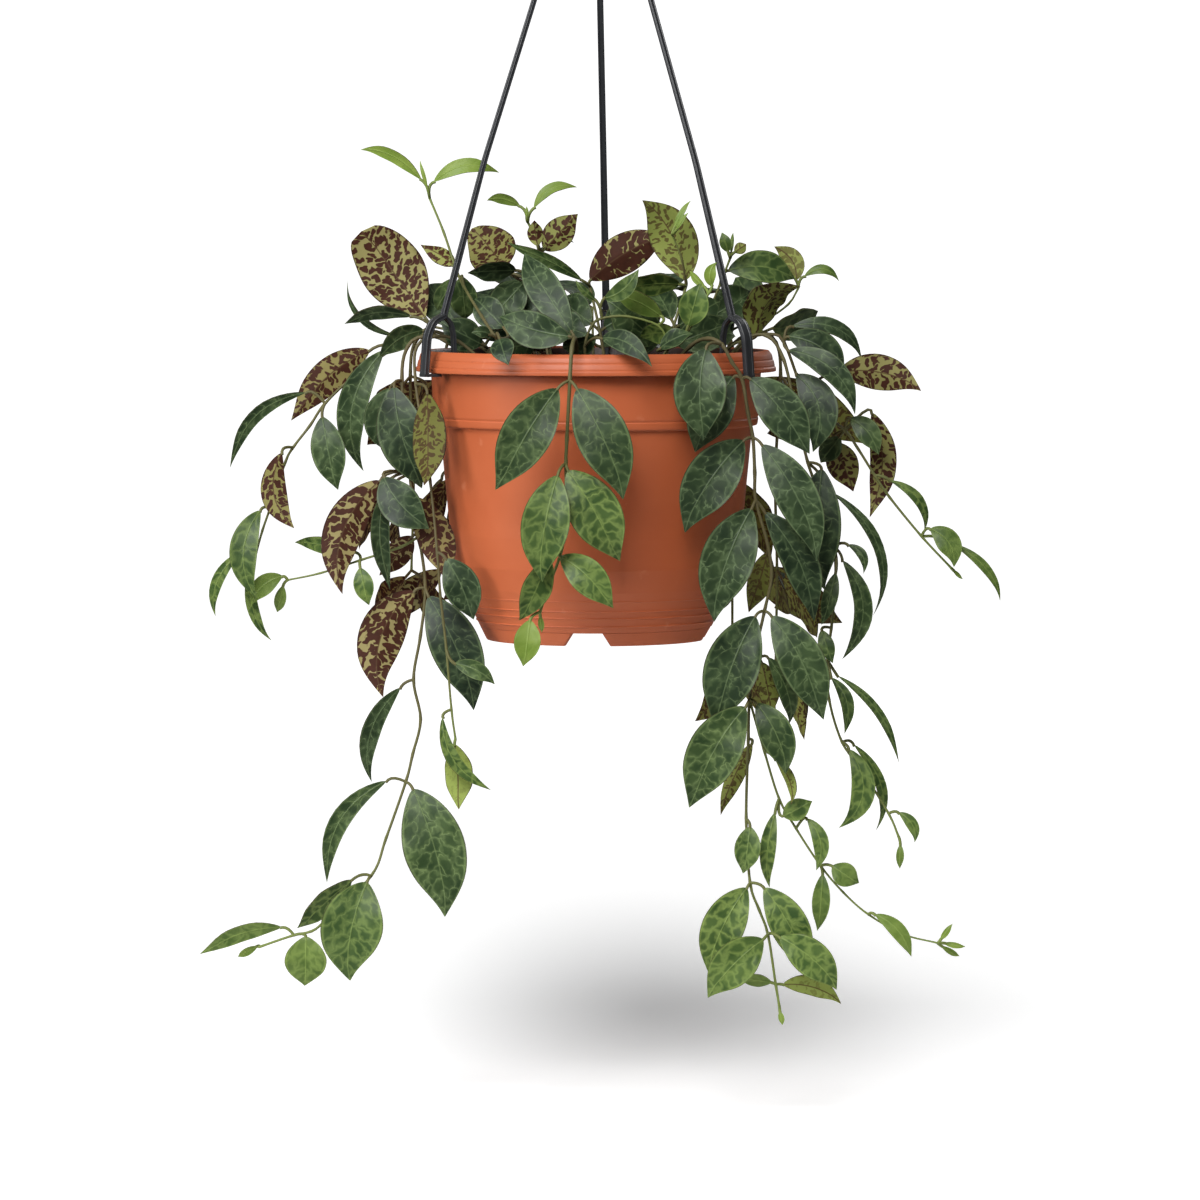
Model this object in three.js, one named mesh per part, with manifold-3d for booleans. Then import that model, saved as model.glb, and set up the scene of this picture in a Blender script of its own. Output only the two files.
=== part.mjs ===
// A potted zebra basket vine in a hanging pot: millimetres, +Z up.
// The origin is the point where the hanger's hook bears on what carries it.

import * as THREE from 'three';
import { mergeVertices } from 'three/addons/utils/BufferGeometryUtils.js';
import Module from 'manifold-3d';

const wasm = await Module();
wasm.setup();

// Driving sizes. Heights in the tables below are measured from the top of the pot's rim.
const HANG_HEIGHT = 308;
const RIM_RADIUS = 90;
const RIM_DEPTH = 10.4;
const POT_HEIGHT = 144.4;
const WALL = 2;
const POT_SIDES = 32;
const FOOT_RADIUS = 55.2;
const FOOT_HEIGHT = 6.9;
const FOOT_NOTCHES = 4;
const SOIL_TOP = -16;
const SOIL_BOTTOM = -133.5;
const ROOT_HEIGHT = -14;
const GAP = 0.3;
const FUSE_TOLERANCE = 0.02;
const MERGE_DISTANCE = 1e-4;

// The hanger: three arms from the rim to a hub, and a hook above it
const ARM_TURNS = [-62.9, 52.3, 176.5];
const ARM_WIDTH = 4;
const OUTER_LEG = 2.6;
const OUTER_WIDTH = 6.4;
const INNER_LEG = 1.8;
const INNER_WIDTH = 3.6;
const FOOT_STRAP = 1.4;
const CLIP_TOP = 17.8;
const CLIP_RADIUS = 84.4;
const HUB_HEIGHT = 268;
const HUB_RADIUS = 8;
const HOOK_INNER = 12;
const HOOK_ROD = 4;

// The plant
const STEM_SIDES = 4;
const STEM_STEP = 24;
const ROOT_DEPTH = 11;
const BROAD_BLADE = 21;
const BROAD_STATIONS = [0.1, 0.33, 0.62, 0.85];
const BLADE_STATIONS = [0.13, 0.45, 0.77];
const SMALL_BLADE = 12;
const SMALL_STATIONS = [0.22, 0.65];
const OUTLINE_SKEW = 0.9;
const OUTLINE_POWER = 0.8;
const BLUNT_SKEW = 0.9;
const BLUNT_POWER = 1.4;
const RIB_THICKNESS = 1.2;
const BLADE_FOLD = 0.16;
const BLADE_ARCH = 0.09;
const FRONT = new THREE.Vector3(0, -1, 0);
const VIEW_DISTANCE = 3000;
const VIEW_HEIGHT = 80;
const VIEW_ZERO = 1.2;

// The finishes
const FINISH = {
  terracotta: { color: 0xc8683c, roughness: 0.5, metalness: 0 },
  black: { color: 0x2c2e30, roughness: 0.4, metalness: 0 },
  soil: { color: 0x3a2c20, roughness: 0.95, metalness: 0 },
  leaf: { color: 0x4d6a3e, roughness: 0.45, metalness: 0 },
};

// The stems as they are seen from the front. A route's points are [x, height, depth], from
// the soil to the tip. Heights count from VIEW_ZERO below the top of the rim, and depths
// from the pot's axis towards the back. A stem that joins another starts on it. A leaf is [route point that it grows from, blade base x and
// height, tip x and height, width, base depth less the stem's, tip depth less the base's,
// turn of the blade about its length (0 shows the upper face), sideways bend, and how much
// blunter its tip is than the others'].
const STEMS = [
  {
    name: 'stem_front_centre', thickness: 2.2,
    route: [[-8, -14, -60], [-10, 4, -74], [-10.5, 7, -85], [-12, 2, -95], [-13, -14, -98],
      [-14.5, -43, -96], [-15, -55.5, -95], [-15, -74, -94], [-17, -98, -93],
      [-22.5, -114, -92], [-28, -130, -92]],
    leaves: [
      [2, -12, 10, -37, 49.5, 17, 2, 26, 0, 0],
      [2, -13, 8, -48, 19, 18, 2, 14, 0, -2],
      [4, -19, -18, -49, -69.5, 24.5, -3, -4, 0, 2],
      [4, -9.5, -18, 15, -73, 25.5, -3, -6, 0, -2],
      [6, -14, -59, 11, -105.5, 25.5, -4, -3, 0, -2],
      [6, -19, -61, -28, -114, 23.5, 0, 2, 0, 2],
      [8, -18, -102, 8, -128.5, 17, -3, -4, 0, -3],
      [8, -23, -102.5, -37.5, -134.5, 15, 1, 2, 20, 1],
      [10, -33, -134, -36, -157.5, 13, -2, -2, 0, 0],
      [10, -28, -132, -27, -141, 3, 0, -2, 0, 0],
    ],
  },
  {
    name: 'stem_crown_tall', thickness: 1.8,
    route: [[-36, -14, -52], [-43, 2, -62], [-49.5, 7, -66], [-57, 18, -52], [-66, 33, -28],
      [-70, 42, -18], [-76, 60, -14], [-83, 77, -12]],
    leaves: [
      [7, -87, 86, -117.5, 101.5, 7, 2, 10, 30, 6],
      [7, -81, 85, -48, 89, 8, 2, 4, 20, -5],
      [7, -84, 82, -88, 96, 2, 0, 0, 0, 0],
      [5, -71, 43, -88, 53, 9, 2, 8, 160, 2],
      [4, -67, 38, -65, 16, 14, 6, 4, 0, 0],
      [4, -71, 37, -80, 21, 10, 10, 10, 0, 0],
      [2, -48, 7, -44, -6, 12, -12, -12, 0, 0],
      [2, -53, 9, -62, 10, 6, 0, -4, 0, 1],
      [2, -46, 12, -64, 31, 19, 16, 14, 0, 0],
    ],
  },
  {
    name: 'stem_crown_left', thickness: 2,
    route: [[-40, -14, -6], [-56, 2, -4], [-70, 10, -1], [-82, 13, 1]],
    leaves: [
      [3, -85, 17, -116, 61, 32, 1, 10, 180, 0, 0.35],
      [3, -92, 18, -125.5, 13, 9, 4, 8, 40, 7],
      [3, -99, 8, -125.5, 35, 5, 6, 8, 50, -4],
      [2, -68, 13, -84, 34, 20, 8, 22, 0, 0],
      [1, -54, 6, -42, 22, 20, 8, 22, 0, 0],
      [1, -57, 4, -78, 15, 17, -14, -8, 0, 0],
      [3, -86, 11, -108, -3, 12, -6, -8, 20, 4],
    ],
  },
  {
    name: 'stem_crown_mid', thickness: 1.8,
    route: [[-22, -14, -24], [-26, 12, -22], [-30, 36, -19], [-28, 51, -16], [-34, 65, -14]],
    leaves: [
      [4, -38, 73, -54.5, 76, 6, 0, 4, 30, 3],
      [4, -31, 72, -9, 82, 6, 0, 4, 30, -4],
      [4, -34.5, 67, -34.5, 73, 2, 0, 0, 0, 0],
      [3, -29, 53, -31, 66, 8, -4, -2, 170, 0],
      [3, -26, 51, -9.5, 69.5, 15, 2, 6, 180, 0],
      [3, -22, 53, -11, 54.5, 4, 8, 6, 40, -2],
      [2, -45, 42, -61, 62, 25, 6, 26, 180, 0, 0.25],
      [2, -40, 41, -64, 40, 13, -4, -4, 40, 2],
      [2, -36, 35, -54, 15, 18, -2, -4, 0, 0],
      [1, -24, 14, -4, 8, 18, 2, -14, 30, 0],
      [1, -20, 20, -39, 33, 16, 10, 8, 0, 0],
      [1, -33, 17, -63, 29, 16, 16, 20, 0, 0],
      [1, -30, 6, -50, 2, 18, -6, -14, 20, 0],
    ],
  },
  {
    name: 'stem_crown_centre', thickness: 2,
    route: [[6, -14, -26], [2, 10, -27], [-3, 33, -26]],
    leaves: [
      [2, -3, 36, 37, 59, 20, -2, 6, 180, -3],
      [2, -7, 36, -45.5, 54, 7, -6, -2, 30, 4],
      [1, 4, 12, 26, 26, 18, 2, 8, 0, 0],
      [1, -2, 14, -18, 26, 18, 4, 10, 0, 0],
      [1, 0, 8, -17, 3, 15, 10, 16, 20, 0],
      [1, 6, 6, 34, 9, 18, 10, 18, 0, 0],
    ],
  },
  {
    name: 'stem_crown_arch', thickness: 1.6,
    route: [[-4, -14, -62], [-5.5, 3, -68], [-2, 13.5, -68], [3, 17, -68], [15.5, 18, -68],
      [31, 13.5, -66], [36, 5, -64]],
    leaves: [
      [3, 4, 27, 21, 42, 9, -2, -4, 0, 3],
      [3, 0, 26, -10.5, 36, 4, 0, 0, 20, 0],
      [1, 3, 7, 28, -6, 11, -8, -16, 0, -4],
      [5, 33, 18, 8, 29.5, 12, 8, 4, 30, 3],
    ],
  },
  {
    name: 'stem_crown_right', thickness: 2,
    route: [[32, -14, -34], [38, 10, -33], [45, 33, -31]],
    leaves: [
      [2, 45, 36, 24, 76.5, 23, 0, 8, 180, 4],
      [2, 42, 34, 9.5, 30, 14, -3, -4, 40, 4],
      [1, 41, 13, 62, 26, 18, 4, 6, 0, 0],
      [1, 31, 5, 6, 27, 22, 2, 6, 0, 0],
      [1, 44, 7, 70, 9, 17, 10, 14, 0, 0],
      [1, 38, 16, 26, 34, 16, 10, 14, 0, 0],
    ],
  },
  {
    name: 'stem_crown_sprig', joins: 'stem_crown_right', thickness: 1.2,
    route: [[45, 33, -31], [43, 46, -38], [38, 59, -41]],
    leaves: [
      [2, 39, 62, 47, 76, 3, 0, 2, 20, 0],
      [2, 40, 61, 46, 70, 2.4, -2, -2, 20, 0],
    ],
  },
  {
    name: 'stem_crown_young', thickness: 1.6,
    route: [[28, -14, -54], [36, 2, -60], [45, 9, -62], [56, 29, -58]],
    leaves: [
      [2, 46, 13, 52, 35, 15, -3, -2, 0, 0],
      [2, 41, 10, 22, 8, 12, 4, 8, 30, 2],
      [1, 40, 4, 68, 15, 19, 10, 6, 0, 0],
      [1, 32, 2, 52, 12, 15, -4, -2, 20, 0],
      [3, 58, 33, 60, 45, 6, 0, 0, 0, -2],
      [3, 55, 32, 47, 41, 4, 0, 2, 30, 0],
    ],
  },
  {
    name: 'stem_right_shoot', thickness: 1.8,
    route: [[44, -14, -6], [54, 14, -8], [62, 34, -10], [67, 47, -10]],
    leaves: [
      [3, 66, 50, 63, 60, 6, 0, 0, 0, 0],
      [3, 69, 50, 75, 54, 6, -2, -2, 180, 0],
      [3, 67.5, 49, 68.5, 60, 2, 0, 0, 0, 0],
      [2, 66, 41, 99.5, 36, 17, 2, 12, 20, -3],
      [1, 58, 18, 78, 30, 20, 4, 10, 0, 0],
    ],
  },
  {
    name: 'stem_right_crown', thickness: 2,
    route: [[54, -14, 4], [66, 2, 2], [76, 7, 0]],
    leaves: [
      [2, 80, 8, 101, 34, 26, -6, -4, 180, -4],
      [2, 88, 12, 111, 21, 22, 6, 10, 0, 0],
      [1, 66, 6, 57, 24, 16, 8, 12, 0, 0],
    ],
  },
  {
    name: 'stem_right_tip', thickness: 1.6,
    route: [[42, -14, 5], [66, 10, 11], [84, 16, 12], [96, 24, 10], [101, 32, 9]],
    leaves: [
      [4, 100, 36, 88.5, 52.5, 11, 0, 4, 180, 4],
      [4, 104, 38, 121.5, 36, 5, 0, 2, 20, -4],
      [2, 82, 20, 70, 38, 18, 6, 14, 0, 0],
    ],
  },
  {
    name: 'stem_right_outer', thickness: 1.8,
    route: [[56, -14, -14], [76, 6, -14], [87, 9, -14], [94, 5, -14], [104.5, -21.5, -12],
      [115, -32, -10], [124.5, -39, -8], [131, -48, -8], [139.5, -61.5, -8],
      [147, -72.5, -8], [163, -92, -8], [178, -108, -8]],
    leaves: [
      [3, 98, 13, 133.5, -2.5, 9, 6, 8, 30, -6],
      [3, 96, 8, 124, -12, 16, -2, 0, 0, -5],
      [3, 96, 1, 130.5, -30, 13, -8, -6, 20, -6],
      [4, 121, -10, 162.5, -18, 18, 0, 4, 180, -4],
      [4, 100, -11, 107.5, -50, 19, -6, -6, 0, -8],
      [6, 122, -42, 112, -55, 11, 4, 4, 0, 0],
      [6, 119, -45, 129.5, -69.5, 16, 6, 6, 180, 0],
      [6, 127, -33, 141, -51.5, 12, -3, -3, 0, -3],
      [6, 138, -30, 136, -82.5, 14, 4, 2, 160, -5],
      [8, 147, -64, 165.5, -90, 5.5, 0, 2, 20, -5],
      [10, 167, -88, 179.5, -107, 12, 0, -2, 0, -4],
      [10, 179, -96, 203.5, -124, 5, 2, 2, 20, -3],
      [11, 179, -109, 184, -114, 2, 0, 0, 0, 0],
    ],
  },
  {
    name: 'stem_right_mid', thickness: 1.8,
    route: [[58, -14, -26], [74, 6, -27], [86, 8, -28], [94, -4, -30], [100, -30, -32],
      [106, -55, -32], [113, -75, -32], [119, -97, -32], [120, -115, -32], [118, -138, -32],
      [116, -154, -32], [117, -174, -32], [123.5, -195.5, -32], [133, -209, -32],
      [147, -231.5, -32], [152, -243, -32]],
    leaves: [
      [5, 113, -58, 113, -119, 23, 0, 0, 0, 2],
      [5, 118, -70, 141, -131.5, 6, 6, 6, 30, -9],
      [7, 123.5, -104, 122.5, -154, 10, 2, 2, 20, -9],
      [7, 120, -110, 113.5, -136.5, 8, -4, -2, 0, 0],
      [7, 126, -96, 134, -110, 5, 2, 2, 20, -3],
      [9, 113, -139, 118.5, -156, 8, -4, -2, 0, 0],
      [10, 118, -163, 124, -191, 7, -2, 0, 20, -4],
      [10, 121, -162, 151.5, -206.5, 5, 4, 4, 30, -4],
      [12, 127, -199, 123, -239, 12, -2, 0, 0, -9],
      [12, 129.5, -197, 142.5, -241, 6, 3, 3, 30, -5],
      [14, 152, -231, 160.5, -246, 6, 0, 0, 0, -3],
      [15, 153, -247, 152.5, -259.5, 4, 0, 0, 0, 0],
    ],
  },
  {
    name: 'stem_right_front', thickness: 2,
    route: [[32, -14, -48], [47, 3, -58], [56, 7, -66], [63, 4, -72], [68, -5, -72],
      [73, -13, -70], [76, -30, -68], [78.5, -42.5, -67], [79.5, -60, -66], [80, -74, -65],
      [86, -96, -64], [88, -112, -63], [84.5, -129.5, -62], [79, -155, -61], [77, -174, -60],
      [76.5, -194, -60], [75.5, -234, -60], [77.5, -266.5, -60], [82, -280, -60],
      [86.5, -292.5, -60], [90.5, -318, -60], [92.5, -330, -60]],
    leaves: [
      [3, 55, 2, 55, -44, 26, -8, -4, 0, 3],
      [5, 69, -12, 50.5, -50.5, 22, 2, 2, 0, 3],
      [5, 77, -13, 106, -51.5, 21.5, -3, -2, 0, -3],
      [7, 74, -44, 43.5, -89.5, 25.5, -2, -6, 0, 3],
      [7, 83, -46, 112, -104, 21, -3, -2, 0, -4],
      [9, 78, -78, 58, -134.5, 26.5, -3, -4, 0, 3],
      [9, 84.5, -80, 108.5, -135.5, 19, 2, 4, 20, -4],
      [12, 80, -132, 60.5, -188, 27, -4, -3, 0, 3],
      [12, 88, -132, 113, -185, 22.5, -2, 0, 0, -4],
      [14, 75, -177, 48, -228.5, 26, -4, -3, 0, 4],
      [14, 80.5, -176, 96, -211.5, 17, -3, -2, 0, -3],
      [17, 76, -269, 56, -312.5, 21, -2, -2, 0, 3],
      [17, 84.5, -269, 106, -312, 19, -1, 0, 0, -3],
      [19, 84, -294, 55.5, -323, 21, -3, -3, 0, 2],
      [19, 92, -293, 121.5, -319, 18, -2, 0, 0, -3],
      [20, 88.5, -317, 71, -314.5, 7, 0, 0, 20, 1],
      [20, 94, -318.5, 124, -327.5, 11, -1, 0, 160, -2],
      [21, 92.5, -331, 94, -338, 3, 0, 0, 0, 0],
      [10, 86, -100, 76, -130, 13, 6, 4, 160, 0],
      [13, 83, -155, 88, -182, 12, 5, 4, 160, 0],
      [13, 86, -152, 98, -186, 10, 8, 4, 20, -2],
      [15, 78.5, -196, 62, -232, 9, 6, 2, 160, 2],
      [16, 77.5, -238, 74.5, -262, 13, -2, -1, 0, 0],
    ],
  },
  {
    name: 'stem_right_low', joins: 'stem_right_front', thickness: 1.4,
    route: [[77, -174, -60], [84.5, -200, -54], [92, -224, -50], [100.5, -239, -48],
      [113, -258, -46], [124.5, -271.5, -46], [137, -282.5, -46], [154.5, -292.5, -46],
      [172, -297, -46]],
    leaves: [
      [1, 86, -198, 100, -193, 6, -2, -2, 20, -2],
      [1, 90, -204, 98.5, -226.5, 6, -3, -2, 150, -2],
      [2, 90, -231, 86.5, -269, 8, -3, -2, 0, 2],
      [2, 94, -233, 108.5, -225, 11, -2, -2, 0, 0],
      [3, 106, -234, 110, -260.5, 8, -3, -2, 0, -5],
      [4, 118.5, -257.5, 132, -266.5, 12, -1, 0, 0, 0],
      [4, 114, -262, 112, -291, 9, -2, 0, 0, 0],
      [6, 140, -282, 158, -304, 8, -1, 0, 0, -4],
      [8, 173, -295, 179, -286.5, 3, 0, 0, 0, 0],
      [8, 175, -297, 186, -299, 3, 0, 0, 0, 0],
      [8, 174, -299, 183.5, -305, 3, 0, 0, 0, 0],
    ],
  },
  {
    name: 'stem_left_long', thickness: 2,
    route: [[-50, -14, -10], [-74, 5, -12], [-86, 8, -13], [-94, 3, -14], [-97, -14, -15],
      [-93, -60, -19], [-88.5, -92, -20], [-85.5, -118, -20], [-88, -142, -20],
      [-91.5, -164, -20], [-88, -184, -20], [-92, -201.5, -20], [-95.5, -215.5, -20],
      [-105.5, -244, -22], [-113, -263, -24], [-135.5, -285, -26], [-143, -291, -26],
      [-152, -293, -26], [-169.5, -299, -26]],
    leaves: [
      [4, -103, -18, -104, -50, 15, 4, 2, 0, 5],
      [4, -101, -17, -86, -68, 24, -8, -6, 0, 3],
      [5, -108, -64, -128, -120, 20, 0, 2, 180, 9],
      [5, -104, -66, -101.5, -119, 10, -5, -3, 20, 7],
      [5, -106, -62, -82.7, -87.5, 20, -6, -7, 0, 3],
      [5, -91, -72, -69.5, -124, 23, -5, -6, 180, -2],
      [6, -92, -92, -108, -112, 13, 6, 6, 180, 0],
      [7, -91, -119.5, -108, -172.5, 23, -1, -2, 180, 9],
      [7, -84, -122, -60, -179, 25, -3, -4, 0, -3],
      [9, -98, -168, -113.5, -215.5, 10, 0, 2, 20, 9],
      [12, -105, -215, -134, -267.5, 10, -1, 0, 0, 11],
      [12, -92, -219, -74.5, -283.5, 31, -4, -3, 0, -3],
      [14, -115, -266, -125, -316, 31, -5, -3, 0, 3],
      [14, -123, -266, -150, -291.5, 13, 4, 3, 30, 3],
      [17, -158, -289, -199, -304, 9, 0, 0, 20, 6],
      [17, -146, -294, -146.5, -320, 21, -4, -2, 0, 0],
      [18, -170.5, -299, -181, -305, 4, 0, 0, 0, 0],
    ],
  },
  {
    name: 'stem_left_side', joins: 'stem_left_long', thickness: 1.4,
    route: [[-88.5, -92, -20], [-98, -97.5, -17], [-118, -104, -14], [-138, -110.5, -14],
      [-154.5, -114, -14]],
    leaves: [
      [4, -157, -112, -173, -126.5, 10, -1, 0, 0, 3],
      [4, -157, -117, -160, -131, 6, -1, 0, 0, 0],
      [2, -120.5, -100, -151, -94.5, 9, 7, 8, 20, 2],
      [2, -118, -107.5, -114, -126.5, 10, -3, -2, 0, 0],
    ],
  },
  {
    name: 'stem_left_inner', thickness: 1.8,
    route: [[-46, -14, -26], [-68, 5, -28], [-80, 8, -29], [-89.5, 3, -30], [-90, -16, -33],
      [-83, -64, -42], [-79.5, -100, -46], [-78, -121.5, -46], [-76.5, -135, -46],
      [-75, -149, -46], [-72.5, -179, -46], [-70.5, -194, -46]],
    leaves: [
      [4, -84, -20, -84, -66, 18, -4, -4, 160, 1],
      [6, -75, -103, -62, -134, 18, 2, 2, 0, -2],
      [9, -71, -156, -50.5, -166, 9, -2, -2, 0, -2],
      [10, -77, -183, -51.5, -219, 7, -2, -2, 20, 9],
      [11, -71, -196.5, -69.5, -229.5, 15, -1, -1, 160, 0],
    ],
  },
  {
    name: 'stem_left_outer', thickness: 1.8,
    route: [[-50, -14, 10], [-74, 6, 8], [-87, 9, 6], [-98, 4, 4], [-120.5, -11.5, 0],
      [-135.5, -25.5, -4], [-143, -36.5, -6], [-151.5, -47.5, -8], [-155.5, -55, -9],
      [-163, -77.5, -10], [-167, -89, -10], [-170.5, -101.5, -10]],
    leaves: [
      [3, -113, 1, -151.5, -35, 17, 2, 4, 180, 5],
      [3, -106, 1, -118, -59.5, 15, -6, -4, 0, 10],
      [5, -145, -20, -182, -59, 7, 0, 2, 20, 12],
      [5, -137, -32, -130, -69, 17, -3, -3, 0, 0],
      [7, -157, -50, -149.5, -87.5, 13, -4, -3, 180, 8],
      [9, -168, -79, -170.5, -123, 14, -4, -3, 0, 7],
      [11, -178, -100, -191.5, -132, 6, 0, 2, 0, 5],
      [11, -173, -107, -164, -145.5, 6, -1, 0, 0, 4],
    ],
  },
];

// The trailing stems behind the pot: where each crosses the rim (degrees from +X towards the
// back), where it roots, how far below the rim it hangs, and how far apart its pairs stand
const REAR_STEMS = [
  { name: 'stem_rear_right_side', angle: 18, root: 52, hang: 165, spacing: 49 },
  { name: 'stem_rear_right', angle: 44, root: 56, hang: 162, spacing: 48 },
  { name: 'stem_rear_centre_right', angle: 70, root: 54, hang: 108, spacing: 46 },
  { name: 'stem_rear_centre', angle: 94, root: 58, hang: 98, spacing: 42 },
  { name: 'stem_rear_centre_left', angle: 118, root: 54, hang: 108, spacing: 46 },
  { name: 'stem_rear_left', angle: 142, root: 56, hang: 120, spacing: 48 },
  { name: 'stem_rear_left_side', angle: 163, root: 52, hang: 140, spacing: 49 },
];

// Short upright shoots in the back half of the crown
const REAR_SHOOTS = [
  { name: 'shoot_rear_right', angle: 52, root: 34, lean: 20, height: 18 },
  { name: 'shoot_rear_centre', angle: 92, root: 36, lean: 18, height: 20 },
  { name: 'shoot_rear_left', angle: 134, root: 34, lean: 20, height: 18 },
  { name: 'shoot_middle', angle: 20, root: 14, lean: 6, height: 18 },
  { name: 'shoot_middle_left', angle: 169, root: 20, lean: 8, height: 18 },
];

const LEAF_SEED = 7;

// The pot's outer wall from its foot to the underside of its rim, as [radius, height]
const POT_WALL = [[FOOT_RADIUS, -POT_HEIGHT], [56.4, -141.5], [60.9, -132], [67.2, -117.5],
  [70.6, -106.5], [73, -91], [78.2, -37.6], [80.6, -36.8], [81.2, -33.2], [82.5, -RIM_DEPTH]];

const degrees = (value) => value * Math.PI / 180;

// A place seen from the front at a given depth, in true coordinates
function seen(x, height, depth) {
  const scale = (VIEW_DISTANCE + depth) / VIEW_DISTANCE;
  const rise = VIEW_HEIGHT + (height - VIEW_HEIGHT) * scale;
  return new THREE.Vector3(x * scale, depth, rise - VIEW_ZERO);
}

// Repeatable draws between 0 and 1 (mulberry32)
function drawer(seed) {
  let state = seed;
  return () => {
    state = (state + 0x6d2b79f5) | 0;
    let mixed = Math.imul(state ^ (state >>> 15), 1 | state);
    mixed = (mixed + Math.imul(mixed ^ (mixed >>> 7), 61 | mixed)) ^ mixed;
    return ((mixed ^ (mixed >>> 14)) >>> 0) / 4294967296;
  };
}

// The outer radius of the pot's wall at a height, between the foot and the rim's underside
function wallRadius(height) {
  for (let i = 1; i < POT_WALL.length; i += 1) {
    const [lowRadius, low] = POT_WALL[i - 1];
    const [highRadius, high] = POT_WALL[i];
    if (height <= high) {
      const share = Math.max(0, (height - low) / (high - low));
      return lowRadius + (highRadius - lowRadius) * share;
    }
  }
  return RIM_RADIUS;
}

// Whether a leaf may not pass through a place, because the pot, its rim or the soil is there
const CLEAR_OF_POT = 2;
const RIM_INNER = 80.5;
function inPot(point) {
  const radius = Math.hypot(point.x, point.y);
  if (point.z > CLEAR_OF_POT || point.z < -POT_HEIGHT - CLEAR_OF_POT) {
    return false;
  }
  if (radius > wallRadius(point.z) + CLEAR_OF_POT) {
    return false;
  }
  return point.z < SOIL_TOP + CLEAR_OF_POT || radius > RIM_INNER - CLEAR_OF_POT;
}

// A count of what lies in and beside each small cell of the space round the plant
const CELL = 2.5;
const SPACE_LOW = [-260, -170, -370];
const SPACE_CELLS = [208, 136, 200];
class Space {
  constructor() {
    this.counts = new Int32Array(SPACE_CELLS[0] * SPACE_CELLS[1] * SPACE_CELLS[2]);
  }

  index(point, dx, dy, dz) {
    const i = Math.floor((point.x - SPACE_LOW[0]) / CELL) + dx;
    const j = Math.floor((point.y - SPACE_LOW[1]) / CELL) + dy;
    const k = Math.floor((point.z - SPACE_LOW[2]) / CELL) + dz;
    return (i * SPACE_CELLS[1] + j) * SPACE_CELLS[2] + k;
  }

  add(points, amount) {
    for (const point of points) {
      for (let dx = -1; dx <= 1; dx += 1) {
        for (let dy = -1; dy <= 1; dy += 1) {
          for (let dz = -1; dz <= 1; dz += 1) {
            this.counts[this.index(point, dx, dy, dz)] += amount;
          }
        }
      }
    }
  }

  holds(point) {
    return this.counts[this.index(point, 0, 0, 0)] > 0;
  }
}

// The outline of a blade: its half width over the widest one, from base (0) to tip (1)
function outline(along, blunt) {
  const skew = OUTLINE_SKEW + BLUNT_SKEW * blunt;
  const swell = Math.max(Math.sin(Math.PI * Math.pow(along, skew)), 0);
  return Math.pow(swell, OUTLINE_POWER - BLUNT_POWER * blunt * along);
}

// A blade's frame: its axis, and the directions across it and up from its upper face
function bladeFrame(leaf) {
  const axis = leaf.tip.clone().sub(leaf.base).normalize();
  const side = axis.clone().cross(leaf.facing).normalize();
  const outward = side.clone().cross(axis);
  const turn = degrees(leaf.turn);
  const up = outward.clone().multiplyScalar(Math.cos(turn));
  up.sub(side.clone().multiplyScalar(Math.sin(turn)));
  return { side, up };
}

// A point of a blade: along runs from 0 at the base to 1 at the tip, across from -1 to 1
function bladePoint(leaf, frame, along, across) {
  const length = leaf.tip.distanceTo(leaf.base);
  const arch = BLADE_ARCH * length;
  const rise = 4 * along * (1 - along);
  const slope = 4 * (1 - 2 * along);
  const chord = leaf.tip.clone().sub(leaf.base);
  const point = leaf.base.clone().addScaledVector(chord, along);
  point.addScaledVector(frame.up, arch * rise).addScaledVector(frame.side, leaf.bend * rise);
  const tangent = chord.clone().addScaledVector(frame.up, arch * slope);
  tangent.addScaledVector(frame.side, leaf.bend * slope);
  const spread = tangent.cross(frame.up).normalize();
  const half = leaf.width / 2 * outline(along, leaf.blunt);
  point.addScaledVector(spread, across * half);
  point.addScaledVector(frame.up, BLADE_FOLD * Math.abs(across) * half);
  return { point, spread, half };
}

const SAMPLES_ALONG = 24;
const SAMPLES_ACROSS = 6;
function bladeSamples(leaf) {
  const frame = bladeFrame(leaf);
  const samples = [];
  for (let i = 1; i <= SAMPLES_ALONG; i += 1) {
    for (let j = -SAMPLES_ACROSS; j <= SAMPLES_ACROSS; j += 1) {
      samples.push(bladePoint(leaf, frame, i / SAMPLES_ALONG, j / SAMPLES_ACROSS).point);
    }
  }
  return samples;
}

// The small changes that a leaf may make to clear its neighbours, the smallest first
const LEANS = [0, -5, 5, -10, 10, -15, 15, -21, 21, -28, 28];
const TURNS = [0, 25, -25, 50, -50];
const PUSHES = [0, -4, 4, -8, 8];
const SIZES = [1, 0.8, 0.6];
function listMoves() {
  const moves = [];
  for (const size of SIZES) {
    for (const lean of LEANS) {
      for (const turn of TURNS) {
        for (const push of PUSHES) {
          const effort = Math.abs(lean) + Math.abs(turn) / 2 + 1.5 * Math.abs(push);
          moves.push({ size, lean, turn, push, effort: effort + 100 * (1 - size) });
        }
      }
    }
  }
  return moves.sort((a, b) => a.effort - b.effort);
}
const MOVES = listMoves();

function movedLeaf(leaf, move) {
  const base = leaf.base.clone().addScaledVector(leaf.facing, -move.push);
  const reach = leaf.tip.clone().sub(leaf.base).multiplyScalar(move.size);
  const tip = base.clone().add(reach).addScaledVector(leaf.facing, -move.lean * move.size);
  const width = leaf.width * move.size;
  return { ...leaf, base, tip, width, turn: leaf.turn + move.turn };
}

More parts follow.
